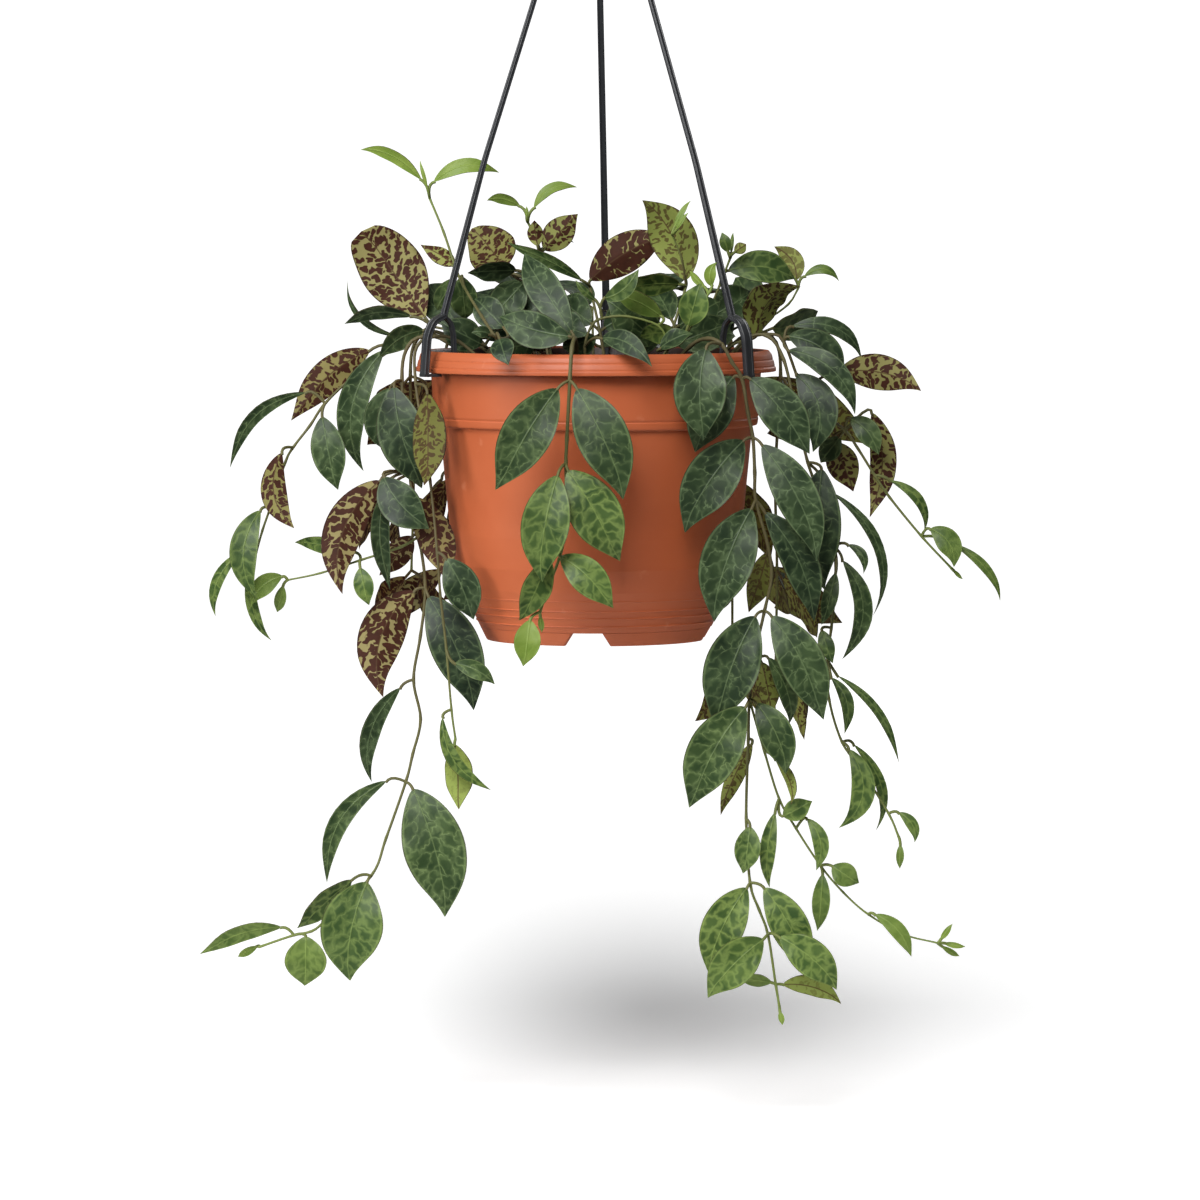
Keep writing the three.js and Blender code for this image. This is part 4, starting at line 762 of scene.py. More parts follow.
@dataclass(frozen=True)
class Move:
    """A small change that a leaf may make to clear its neighbours.

    Args:
        size: The leaf's new size over its own.
        lean: How far its tip moves against its facing.
        turn: How far it turns about its length, in degrees.
        push: How far the whole blade moves against its facing.
    """

    size: float
    lean: float
    turn: float
    push: float

    @property
    def effort(self) -> float:
        """What the move costs: the lean, half the turn, one and a half times the push and a
        hundred times what the size loses."""
        level = abs(self.lean) + abs(self.turn) / 2 + 1.5 * abs(self.push)
        return level + 100 * (1 - self.size)

    def applied(self, leaf: Leaf) -> Leaf:
        """The leaf after this move.

        Args:
            leaf: The leaf before it.

        Returns:
            The changed leaf.
        """
        base = leaf.base + leaf.facing * -self.push
        reach = (leaf.tip - leaf.base) * self.size
        tip = base + reach + leaf.facing * (-self.lean * self.size)
        width = leaf.width * self.size
        return replace(leaf, base=base, tip=tip, width=width, turn=leaf.turn + self.turn)


def list_moves() -> list[Move]:
    """Every move that a leaf may make.

    Returns:
        The moves, the one of least effort first.
    """
    choices = itertools.product(MOVE_SIZES, MOVE_LEANS, MOVE_TURNS, MOVE_PUSHES)
    return sorted((Move(*choice) for choice in choices), key=lambda move: move.effort)


@dataclass
class Grower:
    """Grows the plant as the CAD model does: each leaf settles clear of the pot, the hanger,
    the other stems and their leaves. It is tested at points in rows, and those of the first
    few rows may touch what its own stem carries. The rear stems' spreads are the least angles
    between their leaves and the plumb line, by turns from pair to pair, in degrees."""

    rows: int = 24
    half_row: int = 6
    free_rows: int = 4
    crossing_cost: int = 1000
    touch_cost: int = 2
    rear_rim: tuple[Pair, ...] = ((76.0, 5.0), (87.0, 8.5), (95.5, 3.0), (98.0, -14.0))
    rear_start: float = 14.0
    rear_radius: float = 96.0
    rear_sway: float = 6.0
    rear_stray: float = 3.0
    rear_spreads: Pair = (46.0, 24.0)
    rear_fan: float = 16.0
    rear_length: float = 54.0
    rear_shrink: float = 16.0
    shoot_length: float = 34.0
    shoot_growth: float = 14.0
    left_red: float = 0.6
    right_red: float = 0.3

    def __post_init__(self) -> None:
        """Starts the draws, with nothing grown."""
        self.draw = Draws(LEAF_SEED)
        self.moves = list_moves()
        self.others = Space()
        self.shares = np.arange(1, self.rows + 1) / self.rows
        self.sides = np.arange(-self.half_row, self.half_row + 1) / self.half_row

    def samples(self, leaf: Leaf) -> Array:
        """Points all over a leaf's blade."""
        return leaf.surface(self.shares, self.sides).reshape(-1, 3)

    def settle(self, leaf: Leaf, own: Space) -> tuple[Leaf, int]:
        """Finds the move that clears a leaf of its neighbours with the least effort.

        Args:
            leaf: The leaf where it would stand.
            own: The space that its own stem and the leaves on it take.

        Returns:
            The leaf after the move, and how many of its points still cross something.
        """
        best, best_score, best_crossings = leaf, math.inf, 0
        free = self.free_rows * (2 * self.half_row + 1)
        for move in self.moves:
            if best_score <= move.effort:
                break
            tried = move.applied(leaf)
            points = self.samples(tried)
            crossing = in_pot(points) | self.others.holds(points)
            touching = own.holds(points) & ~crossing
            crossings = int(crossing.sum())
            score = self.crossing_cost * crossings + self.touch_cost * int(touching[free:].sum())
            score += move.effort
            if score < best_score:
                best, best_score, best_crossings = tried, score, crossings
        return best, best_crossings

    def front_stem(self, row: StemRow) -> Stem:
        """A stem of the front tables in true coordinates.

        Args:
            row: The stem's row.

        Returns:
            The stem, with its leaves where they would stand.
        """
        route = np.array([seen(*point) for point in row.route])
        age = age_of(row.name)
        last = len(row.route) - 1
        leaves = []
        for entry in row.leaves:
            at, base_x, base_z, tip_x, tip_z, width, ahead, lean, turn, bend, *rest = entry
            depth = row.route[at][2] + ahead
            leaves.append(Leaf(
                node=route[at], base=seen(base_x, base_z, depth),
                tip=seen(tip_x, tip_z, depth + lean), width=width, turn=turn, bend=bend,
                blunt=rest[0] if rest else 0.0, facing=FRONT, kept=True,
                youth=age.youth(at / last), red=age.red,
            ))
        return Stem(row.name, row.thickness, route, leaves, row.joins)

    def grown_leaf(self, node: Array, direction: Array, petiole: float, length: float,
                   facing: Array, bend: float) -> Leaf:
        """A full-grown leaf that grows from a node in a direction.

        Args:
            node: Where it leaves the stem.
            direction: The direction of its petiole and its blade.
            petiole: The petiole's length.
            length: The blade's length.
            facing: The direction that its upper face is turned from.
            bend: How far its middle stands to one side.

        Returns:
            The leaf.
        """
        base = node + direction * petiole
        red = self.left_red if node[0] < 0.0 else self.right_red
        return Leaf(node=node, base=base, tip=base + direction * length,
                    width=LEAF_RATIO * length, turn=0.0, bend=bend, blunt=0.0, facing=facing,
                    kept=False, youth=0.0, red=red)

    def rear_stem(self, row: RearRow) -> Stem:
        """A stem that leaves the soil, crosses the rim and hangs behind the pot.

        Args:
            row: The stem's row.

        Returns:
            The stem, with pairs of leaves all down it.
        """
        outward = outwards(row.angle)
        side = np.cross(UP, outward)
        route = [place(outward, row.root, ROOT_HEIGHT)]
        route += [place(outward, radius, height) for radius, height in self.rear_rim]
        leaves = []
        pairs = math.floor((row.hang - self.rear_start) / row.spacing)
        for k in range(pairs + 1):
            if k > 0:
                sway = self.rear_sway * (self.draw() - 0.5)
                radius = self.rear_radius + self.rear_stray * (self.draw() - 0.5)
                node = place(outward, radius, -self.rear_start - k * row.spacing)
                route.append(node + side * sway)
            share = k / max(pairs, 1)
            for hand in (-1, 1):
                spread = math.radians(self.rear_spreads[k % 2] + self.rear_fan * self.draw())
                grown = self.rear_length - self.rear_shrink * share
                length = grown * (0.85 + 0.3 * self.draw())
                direction = UP * -math.cos(spread) + side * (hand * math.sin(spread))
                direction = unit(direction + outward * (0.12 + 0.2 * self.draw()))
                leaves.append(self.grown_leaf(route[-1], direction, 6.0, length, outward,
                                              hand * 3.0))
        return Stem(row.name, 2.0, np.array(route), leaves)

    def rear_shoot(self, row: ShootRow) -> Stem:
        """A short shoot in the back of the crown, with two pairs of leaves.

        Args:
            row: The shoot's row.

        Returns:
            The shoot with its leaves.
        """
        outward = outwards(row.angle)
        side = np.cross(UP, outward)
        route = [place(outward, row.root + row.lean * share,
                       ROOT_HEIGHT + (row.height - ROOT_HEIGHT) * share)
                 for share in (0.0, 0.5, 1.0)]
        leaves = []
        for at, sideways, forward in ((1, 0.8, 0.2), (2, 0.5, 0.8)):
            for hand in (-1, 1):
                length = self.shoot_length + self.shoot_growth * self.draw()
                direction = side * (hand * sideways) + outward * forward
                direction = unit(direction + UP * (0.1 + 0.25 * self.draw()))
                leaves.append(self.grown_leaf(route[at], direction, 4.0, length, UP, hand * 2.0))
        return Stem(row.name, 1.8, np.array(route), leaves)

    def hanger_points(self) -> Array:
        """The space that the hanger takes beside the plant.

        Returns:
            Points along the hanger's arms and clips, no further apart than the cells.
        """
        points = []
        for turn in ARM_TURNS:
            outward = arm_direction(turn)
            across = np.cross(UP, outward)
            for path in (ARM_PATH, OUTER_LEG_PATH, INNER_LEG_PATH):
                for start, end in zip(path[:, :2], path[1:, :2]):
                    run = math.hypot(end[0] - start[0], end[1] - start[1])
                    steps = math.ceil(run / Space.CELL)
                    for k in range(steps + 1):
                        radius = start[0] + (end[0] - start[0]) * k / steps
                        height = start[1] + (end[1] - start[1]) * k / steps
                        for offset in (-ARM_WIDTH / 2.0, 0.0, ARM_WIDTH / 2.0):
                            points.append(place(outward, radius, height) + across * offset)
        return np.array(points)

    def grow(self) -> list[Stem]:
        """Grows the whole plant.

        Returns:
            Every stem with its settled leaves, each branch among them.
        """
        stems = [self.front_stem(row) for row in STEMS]
        stems += [self.rear_stem(row) for row in REAR_STEMS]
        stems += [self.rear_shoot(row) for row in REAR_SHOOTS]
        self.others.add(self.hanger_points(), 1)
        routes = {stem.name: smooth_route(stem.route, Space.CELL) for stem in stems}
        for samples in routes.values():
            self.others.add(samples, 1)
        for first in stems:
            if not first.joins:
                self.settle_group([first] + branches_of(first, stems), routes)
        return stems

    def settle_group(self, group: list[Stem], routes: dict[str, Array]) -> None:
        """Settles the leaves of one stem and its branches, and claims their places.

        Args:
            group: The stem and its branches.
            routes: Points along every stem, by its name.
        """
        own = Space()
        for stem in group:
            self.others.add(routes[stem.name], -1)
            own.add(routes[stem.name], 1)
        claimed = [routes[stem.name] for stem in group]
        for stem in group:
            settled = []
            for leaf in stem.leaves:
                moved, crossings = self.settle(leaf, own)
                if crossings and not leaf.kept:
                    continue
                samples = self.samples(moved)
                own.add(samples, 1)
                claimed.append(samples)
                settled.append(moved)
            stem.leaves = settled
        self.others.add(np.vstack(claimed), 1)


def branches_of(first: Stem, stems: Iterable[Stem]) -> list[Stem]:
    """The stems that branch from the first one."""
    return [stem for stem in stems if stem.joins == first.name]


@dataclass(frozen=True)
class Age:
    """How the leaves of a stem age from its tip down.

    Args:
        root: How young they look at its root, from 0 to 1.
        tip: How young they look at its tip.
        power: How late along the stem they turn young.
        red: How much of their undersides is maroon.
    """

    root: float = 0.0
    tip: float = 0.42
    power: float = 2.0
    red: float = 0.5

    def youth(self, share: float) -> float:
        """How young a leaf looks at a share of the stem's length."""
        return self.root + (self.tip - self.root) * share ** self.power


AGES = {
    "stem_front_centre": Age(0.0, 0.85, 2.0, 0.5),
    "stem_crown_tall": Age(0.0, 0.95, 3.0, 0.5),
    "stem_crown_left": Age(0.0, 0.1, 2.0, 0.6),
    "stem_crown_mid": Age(0.0, 0.8, 4.0, 0.45),
    "stem_crown_centre": Age(0.0, 0.2, 2.0, 1.25),
    "stem_crown_arch": Age(0.0, 1.0, 2.0, 0.5),
    "stem_crown_right": Age(0.0, 0.5, 2.0, 0.35),
    "stem_crown_sprig": Age(0.0, 0.8, 2.0, 0.4),
    "stem_crown_young": Age(0.0, 1.0, 2.0, 0.5),
    "stem_right_shoot": Age(0.0, 0.6, 2.0, 0.5),
    "stem_right_crown": Age(0.0, 0.2, 2.0, 0.3),
    "stem_right_tip": Age(0.0, 0.65, 2.0, 0.8),
    "stem_right_outer": Age(0.0, 0.85, 3.0, 0.5),
    "stem_right_mid": Age(0.05, 0.7, 3.0, 0.2),
    "stem_right_front": Age(0.0, 0.85, 4.0, 0.15),
    "stem_right_low": Age(0.5, 0.85, 1.5, 0.0),
    "stem_left_long": Age(0.0, 0.8, 4.0, 0.8),
    "stem_left_side": Age(0.4, 0.7, 1.0, 0.5),
    "stem_left_inner": Age(0.0, 0.85, 8.0, 0.3),
    "stem_left_outer": Age(0.05, 0.5, 3.0, 0.6),
}


def age_of(name: str) -> Age:
    """How the leaves of a stem age, which is the common way where it has none of its own."""
    return AGES.get(name, Age())


def even(path: Sequence[Pair], thickness: float, width: float) -> Array:
    """A path of [radius, height] with one thickness and width all along it."""
    return np.array([(radius, height, thickness, width) for radius, height in path])


# The hanger's side shapes, as [radius, height, thickness, width]: an arm, the two legs of its
# clip and the foot
ARM_PATH = np.array([
    (5.0, 265.0, 1.9, 3.2), (33.9, 174.8, 1.9, 3.2), (61.9, 94.3, 2.1, 3.3),
    (CLIP_RADIUS, CLIP_TOP, 2.7, 3.8),
])
OUTER_LEG_PATH = even(((CLIP_RADIUS, CLIP_TOP), (90.3, 15.0), (93.4, 8.0), (95.0, CLIP_FOOT)),
                      2.6, 6.4)
INNER_LEG_PATH = even(((CLIP_RADIUS, CLIP_TOP), (80.4, 14.2), (79.0, 8.0), (78.6, -9.0)), 1.8, 3.6)
FOOT_LEVEL = CLIP_FOOT + FOOT_STRAP / 2.0
FOOT_PATH = even(((96.2, FOOT_LEVEL), (87.0, FOOT_LEVEL)), FOOT_STRAP, 6.4)


class Face(Enum):
    """The material slots of a leafy stem's faces."""

    UPPER = 0
    UNDER = 1
    STEM = 2


# What each vertex of a leaf's sheet carries: centimetres along and across the blade, which
# become its UV map, and these four attributes
SHEET_ATTRIBUTES = ("youth", "chance", "edge", "red")
SHEET_SIZE = 2 + len(SHEET_ATTRIBUTES)


@dataclass
class Skin:
    """Vertices and faces that are gathered for one mesh, in millimetres: arrays of places, of
    the faces' corners and material slots, and of what each vertex carries of a leaf's sheet."""

    points: list[Array] = field(default_factory=list)
    quads: list[Array] = field(default_factory=list)
    slots: list[Array] = field(default_factory=list)
    sheets: list[Array] = field(default_factory=list)
    count: int = 0

    def add(self, points: Array, quads: Array, slots: int | Array = 0,
            sheet: Array | None = None) -> None:
        """Adds vertices and four-cornered faces. A face that repeats a corner is a triangle.

        Args:
            points: Vertices, one a row.
            quads: Corners of each face, as rows of these vertices.
            slots: The material slot of the faces.
            sheet: Six values a vertex: centimetres along and across the blade, youth, chance,
                the share of the way from the midrib to the edge, and the underside's red.
        """
        self.points.append(points)
        self.quads.append(quads + self.count)
        self.slots.append(np.broadcast_to(slots, len(quads)))
        self.sheets.append(np.zeros((len(points), SHEET_SIZE)) if sheet is None else sheet)
        self.count += len(points)

    def build(self, name: str, materials: Sequence[bpy.types.Material],
              sharp: float) -> bpy.types.Object:
        """One mesh object of everything gathered, in metres in the row frame.

        Args:
            name: The piece's name.
            materials: The materials of its slots.
            sharp: The least angle of an edge that stays sharp, in degrees.

        Returns:
            The object, linked into the scene.
        """
        points = np.vstack(self.points)
        placed = (points + np.array([0.0, 0.0, -HANG_HEIGHT])) * MILLIMETRE
        quads = np.vstack(self.quads)
        slots = np.concatenate(self.slots)
        following = np.roll(quads, -1, axis=1)
        keep = quads != following
        sizes = keep.sum(axis=1)
        quads, slots, keep, sizes = (part[sizes > 2] for part in (quads, slots, keep, sizes))
        mesh = bpy.data.meshes.new(name)
        mesh.vertices.add(len(placed))
        mesh.vertices.foreach_set("co", placed.ravel())
        corners = quads[keep]
        mesh.loops.add(len(corners))
        mesh.loops.foreach_set("vertex_index", corners)
        starts = np.concatenate([[0], np.cumsum(sizes)[:-1]])
        mesh.polygons.add(len(sizes))
        mesh.polygons.foreach_set("loop_start", starts)
        mesh.polygons.foreach_set("material_index", slots)
        for material in materials:
            mesh.materials.append(material)
        self.carry_sheets(mesh, corners)
        mesh.update(calc_edges=True)
        mesh.validate()
        mesh.shade_smooth()
        mesh.set_sharp_from_angle(angle=math.radians(sharp))
        piece = bpy.data.objects.new(name, mesh)
        bpy.context.scene.collection.objects.link(piece)
        LOG.info("%s: %d triangles", name, int((sizes - 2).sum()))
        return piece

    def carry_sheets(self, mesh: bpy.types.Mesh, corners: Array) -> None:
        """Gives the mesh its leaves' UV map and attributes, where it has leaves.

        Args:
            mesh: The mesh.
            corners: The vertex of each corner of its faces.
        """
        sheets = np.vstack(self.sheets)
        if not sheets.any():
            return
        layer = mesh.uv_layers.new(name="blade")
        layer.data.foreach_set("uv", sheets[corners, :2].ravel())
        for index, label in enumerate(SHEET_ATTRIBUTES, start=2):
            values = mesh.attributes.new(label, "FLOAT", "POINT")
            values.data.foreach_set("value", sheets[:, index])


def grid_faces(rows: int, columns: int, closed: bool) -> Array:
    """Faces of a grid of points.

    Args:
        rows: How many rows it has.
        columns: How many points a row has.
        closed: Whether each row is a ring.

    Returns:
        The four corners of each face, one face a row.
    """
    across = columns if closed else columns - 1
    i, j = np.meshgrid(np.arange(rows - 1), np.arange(across), indexing="ij")
    a = (i * columns + j).ravel()
    b = (i * columns + (j + 1) % columns).ravel()
    return np.stack([a, b, b + columns, a + columns], axis=1)


def fan(centre: int, ring: Array) -> Array:
    """Triangles from a centre to each edge of a ring.

    Args:
        centre: The vertex in the middle.
        ring: The ring's vertices in order.

    Returns:
        Faces that repeat a corner, one a row.
    """
    after = np.roll(ring, -1)
    middle = np.full(len(ring), centre)
    return np.stack([ring, after, middle, middle], axis=1)


def tube(skin: Skin, rings: Array, slot: int = 0, sheet: Array | None = None) -> None:
    """Adds a closed tube through rings, with a cap at each end.

    Args:
        skin: The mesh that it is added to.
        rings: The rings' points, of shape (rings, sides, 3).
        slot: The material slot.
        sheet: What its vertices carry, the two caps' middles last.
    """
    count, sides, _ = rings.shape
    points = np.vstack([rings.reshape(-1, 3), rings[0].mean(axis=0), rings[-1].mean(axis=0)])
    first = np.arange(sides)
    last = first + (count - 1) * sides
    faces = np.vstack([
        grid_faces(count, sides, closed=True),
        fan(count * sides, first[::-1]),
        fan(count * sides + 1, last),
    ])
    skin.add(points, faces, slot, sheet)


def round_corners(path: Sequence[Pair] | Array, reach: float, steps: int) -> Array:
    """A path whose corners are rounded: each one becomes the parabola that is tangent to both
    its sides at the reach, or at two fifths of the shorter side.

    Args:
        path: Corners of [radius, height], and what else changes along it.
        reach: How far from a corner its rounding starts.
        steps: How many steps a rounding has.

    Returns:
        The rounded path's points, one a row.
    """
    corners = np.array(path, dtype=float)
    points = [corners[:1]]
    t = np.linspace(0.0, 1.0, steps + 1)[:, None]
    for before, corner, after in zip(corners, corners[1:], corners[2:]):
        back = before - corner
        ahead = after - corner
        lengths = np.linalg.norm(back[:2]), np.linalg.norm(ahead[:2])
        limit = min(reach, 0.4 * min(lengths))
        start = corner + back / lengths[0] * limit
        end = corner + ahead / lengths[1] * limit
        points.append(start * (1 - t) ** 2 + corner * 2 * t * (1 - t) + end * t ** 2)
    points.append(corners[-1:])
    return np.vstack(points)


def lathe(skin: Skin, profile: Array, sides: int) -> None:
    """Adds a solid of revolution.

    Args:
        skin: The mesh that it is added to.
        profile: The points of a closed profile, as [radius, height].
        sides: How many sides its round has.
    """
    angles = np.arange(sides) * 2.0 * np.pi / sides
    directions = np.stack([np.cos(angles), np.sin(angles)], axis=1)
    rings = np.empty((len(profile), sides, 3))
    rings[:, :, :2] = profile[:, 0][:, None, None] * directions[None]
    rings[:, :, 2] = profile[:, 1][:, None]
    faces = grid_faces(len(profile) + 1, sides, closed=True)
    faces %= len(profile) * sides
    skin.add(rings.reshape(-1, 3), faces)


def polar_slab(skin: Skin, radii: Sequence[float], low: float, high: float,
               kept: Array) -> None:
    """Adds a level slab between two heights, made of the kept cells of a polar grid.

    Args:
        skin: The mesh that it is added to.
        radii: The grid's radii.
        low: The lower height.
        high: The upper height.
        kept: Which cells are solid, of shape (radii - 1, sectors).
    """
    bands, sectors = kept.shape
    angles = np.arange(sectors) * 2.0 * np.pi / sectors
    directions = np.stack([np.cos(angles), np.sin(angles)], axis=1)
    layers = []
    for height in (low, high):
        ring = np.empty((bands + 1, sectors, 3))
        ring[:, :, :2] = np.array(radii)[:, None, None] * directions[None]
        ring[:, :, 2] = height
        layers.append(ring.reshape(-1, 3))
    total = len(layers[0])
    faces = []
    for i, j in zip(*np.nonzero(kept)):
        after = (j + 1) % sectors
        a, b = i * sectors + j, i * sectors + after
        c, d = (i + 1) * sectors + after, (i + 1) * sectors + j
        faces.append([a, b, c, d])
        faces.append([a + total, d + total, c + total, b + total])
        edges = (
            (i == 0 or not kept[i - 1, j], a, b),
            (i == bands - 1 or not kept[i + 1, j], c, d),
            (not kept[i, j - 1], d, a),
            (not kept[i, after], b, c),
        )
        for is_open, start, end in edges:
            if is_open:
                faces.append([end, start, start + total, end + total])
    skin.add(np.vstack(layers), np.array(faces))


class Value:
    """A socket of a node tree, with arithmetic.

    Args:
        shader: The material that it belongs to.
        socket: The socket.
    """

    def __init__(self, shader: "Shader", socket: bpy.types.NodeSocket) -> None:
        """Wraps the socket."""
        self.shader = shader
        self.socket = socket

    def __add__(self, other: "Term") -> "Value":
        """This value plus another."""
        return self.shader.math("ADD", self, other)

    def __radd__(self, other: "Term") -> "Value":
        """A number plus this value."""
        return self.shader.math("ADD", other, self)

    def __sub__(self, other: "Term") -> "Value":
        """This value less another."""
        return self.shader.math("SUBTRACT", self, other)

    def __rsub__(self, other: "Term") -> "Value":
        """A number less this value."""
        return self.shader.math("SUBTRACT", other, self)

    def __mul__(self, other: "Term") -> "Value":
        """This value times another."""
        return self.shader.math("MULTIPLY", self, other)

    def __rmul__(self, other: "Term") -> "Value":
        """A number times this value."""
        return self.shader.math("MULTIPLY", other, self)

    def __truediv__(self, other: "Term") -> "Value":
        """This value over another."""
        return self.shader.math("DIVIDE", self, other)

    def __abs__(self) -> "Value":
        """This value without its sign."""
        return self.shader.math("ABSOLUTE", self)


Term = Value | float
Tint = tuple[float, float, float, float]
Colour = Value | Tint


def linear(value: float) -> float:
    """The amount of light of a display value between 0 and 255."""
    share = value / 255.0
    return share / 12.92 if share <= 0.04045 else ((share + 0.055) / 1.055) ** 2.4


def srgb(red: float, green: float, blue: float) -> Tint:
    """A colour from its display values between 0 and 255."""
    return linear(red), linear(green), linear(blue), 1.0


class Shader:
    """A material with one Principled surface."""

    FIRST_COLOUR = 6
    SECOND_COLOUR = 7
    MIXED_COLOUR = 2

    def __init__(self, name: str, roughness: float, specular: float) -> None:
        """Makes the material.

        Args:
            name: Its name.
            roughness: The surface's roughness, where nothing varies it.
            specular: The strength of its highlights.
        """
        self.material = bpy.data.materials.new(name)
        self.material.use_nodes = True
        self.nodes = self.material.node_tree.nodes
        self.links = self.material.node_tree.links
        self.surface = self.nodes["Principled BSDF"]
        self.surface.inputs["Roughness"].default_value = roughness
        self.surface.inputs["Specular IOR Level"].default_value = specular

    def connect(self, value: object, socket: bpy.types.NodeSocket) -> None:
        """Feeds a socket.

        Args:
            value: A value of the node tree to link, or a constant to set.
            socket: The socket that takes it.
        """
        if isinstance(value, Value):
            self.links.new(value.socket, socket)
        else:
            socket.default_value = value

    def node(self, kind: str, inputs: dict[str | int, object], output: str | int = 0,
             **settings: object) -> Value:
        """Adds a node.

        Args:
            kind: The node's type.
            inputs: Its inputs by name or number.
            output: The output wanted.
            settings: The node's own settings.

        Returns:
            The output wanted.
        """
        made = self.nodes.new(kind)
        for key, setting in settings.items():
            setattr(made, key, setting)
        for key, value in inputs.items():
            self.connect(value, made.inputs[key])
        return Value(self, made.outputs[output])

    def math(self, operation: str, *terms: Term) -> Value:
        """A sum, product or other operation on up to three terms."""
        return self.node("ShaderNodeMath", dict(enumerate(terms)), operation=operation)

    def smooth(self, value: Term, start: float, end: float) -> Value:
        """0 below the start, 1 above the end, and a smooth step between them."""
        return self.node("ShaderNodeMapRange", {"Value": value, "From Min": start, "From Max": end},
                         interpolation_type="SMOOTHSTEP")

    def mix(self, share: Term, first: Colour, second: Colour) -> Value:
        """The first colour at a share of 0 and the second at 1."""
        inputs = {"Factor": share, self.FIRST_COLOUR: first, self.SECOND_COLOUR: second}
        return self.node("ShaderNodeMix", inputs, self.MIXED_COLOUR, data_type="RGBA")

    def noise(self, spot: Value, scale: float, detail: float) -> Value:
        """A smooth noise between 0 and 1."""
        return self.node("ShaderNodeTexNoise", {"Vector": spot, "Scale": scale, "Detail": detail})

    def cells(self, spot: Value, feature: str, output: str, **inputs: float) -> Value:
        """One of the values of a flat pattern of cells, each about 1 across."""
        return self.node("ShaderNodeTexVoronoi", {"Vector": spot, "Scale": 1.0, **inputs}, output,
                         feature=feature, voronoi_dimensions="2D")

    def crumbs(self, spot: Value, scale: float) -> Value:
        """The distance from the middles of scattered round cells."""
        return self.node("ShaderNodeTexVoronoi", {"Vector": spot, "Scale": scale})

    def attribute(self, name: str) -> Value:
        """A value that the mesh carries."""
        return self.node("ShaderNodeAttribute", {}, "Fac", attribute_name=name)

    def object_place(self) -> Value:
        """The place on the object, in metres."""
        return self.node("ShaderNodeTexCoord", {}, "Object")

    def parts(self, vector: Value) -> tuple[Value, Value, Value]:
        """Splits a vector.

        Args:
            vector: The vector.

        Returns:
            Its three parts.
        """
        made = self.nodes.new("ShaderNodeSeparateXYZ")
        self.connect(vector, made.inputs[0])
        x, y, z = (Value(self, output) for output in made.outputs)
        return x, y, z

    def vector(self, x: Term, y: Term) -> Value:
        """A flat vector from its parts."""
        return self.node("ShaderNodeCombineXYZ", {0: x, 1: y})

    def bump(self, height: Value, distance: float, strength: float) -> None:
        """Raises the surface.

        Args:
            height: The height, between 0 and 1.
            distance: What a height of 1 raises, in metres.
            strength: How much of that shows.
        """
        inputs = {"Height": height, "Distance": distance, "Strength": strength}
        made = self.node("ShaderNodeBump", inputs, "Normal")
        self.connect(made, self.surface.inputs["Normal"])

    def finish(self, colour: Colour, roughness: Term | None = None) -> bpy.types.Material:
        """Feeds the surface's colour, and its roughness where it varies.

        Args:
            colour: The base colour.
            roughness: The roughness, or none to keep the even one.

        Returns:
            The material.
        """
        self.connect(colour, self.surface.inputs["Base Color"])
        if roughness is not None:
            self.connect(roughness, self.surface.inputs["Roughness"])
        return self.material


@dataclass(frozen=True)
class Terracotta:
    """The pot's moulded plastic: nearly even, with faint rubbed marks, and painted shade, a near
    black brown, on the wall inside, above the soil. The painted shade lies within the inside
    radii, which narrow by the wall's slope, and between the depths of the lip and of the soil.
    It fades from the first to the second number of each, in metres."""

    deep: Tint = srgb(180, 90, 52)
    light: Tint = srgb(189, 99, 60)
    rubbed: Tint = srgb(216, 146, 112)
    # Painted shade: the colour of the pot's hollow inside, above the soil
    painted_shade: Tint = srgb(38, 26, 20)
    wall_slope: float = 0.16
    inside: Pair = (0.0838, 0.0844)
    soil: Pair = (0.018, 0.022)
    lip: Pair = (0.0004, 0.0024)

    def make(self) -> bpy.types.Material:
        """Makes the material.

        Returns:
            The material.
        """
        shader = Shader("Terracotta plastic", roughness=0.42, specular=0.42)
        spot = shader.object_place()
        cloud = shader.noise(spot, 18.0, 3.0)
        colour = shader.mix(shader.smooth(cloud, 0.3, 0.75), self.deep, self.light)
        rub = shader.smooth(shader.noise(spot, 95.0, 5.0), 0.66, 0.78)
        colour = shader.mix(rub * 0.25, colour, self.rubbed)
        # Painted shade: the wall inside, above the soil, darkened to a near black brown
        colour = shader.mix(self.painted_shade_mask(shader, spot, cloud) * 0.95, colour, self.painted_shade)
        shader.bump(shader.noise(spot, 420.0, 2.0), 0.00004, 0.5)
        return shader.finish(colour=colour, roughness=0.4 + 0.12 * cloud)

    def painted_shade_mask(self, shader: Shader, spot: Value, cloud: Value) -> Value:
        """Where shade is painted on the wall inside.

        Args:
            shader: The material.
            spot: The place on the object.
            cloud: A broad noise.

        Returns:
            1 in the painted shade and 0 elsewhere.
        """
        x, y, height = shader.parts(spot)
        radius = shader.math("SQRT", x * x + y * y)
        depth = -HANG_HEIGHT * MILLIMETRE - height
        inside = 1.0 - shader.smooth(radius + depth * self.wall_slope, *self.inside)
        above_soil = 1.0 - shader.smooth(depth, *self.soil)
        return inside * above_soil * shader.smooth(depth + 0.002 * cloud, *self.lip)


@dataclass(frozen=True)
class BlackPlastic:
    """The hanger's satin plastic."""

    deep: Tint = srgb(38, 39, 42)
    light: Tint = srgb(50, 52, 55)

    def make(self) -> bpy.types.Material:
        """Makes the material.

        Returns:
            The material.
        """
        shader = Shader("Black plastic", roughness=0.36, specular=0.5)
        grain = shader.noise(shader.object_place(), 160.0, 2.0)
        return shader.finish(colour=shader.mix(grain, self.deep, self.light),
                             roughness=0.3 + 0.12 * grain)


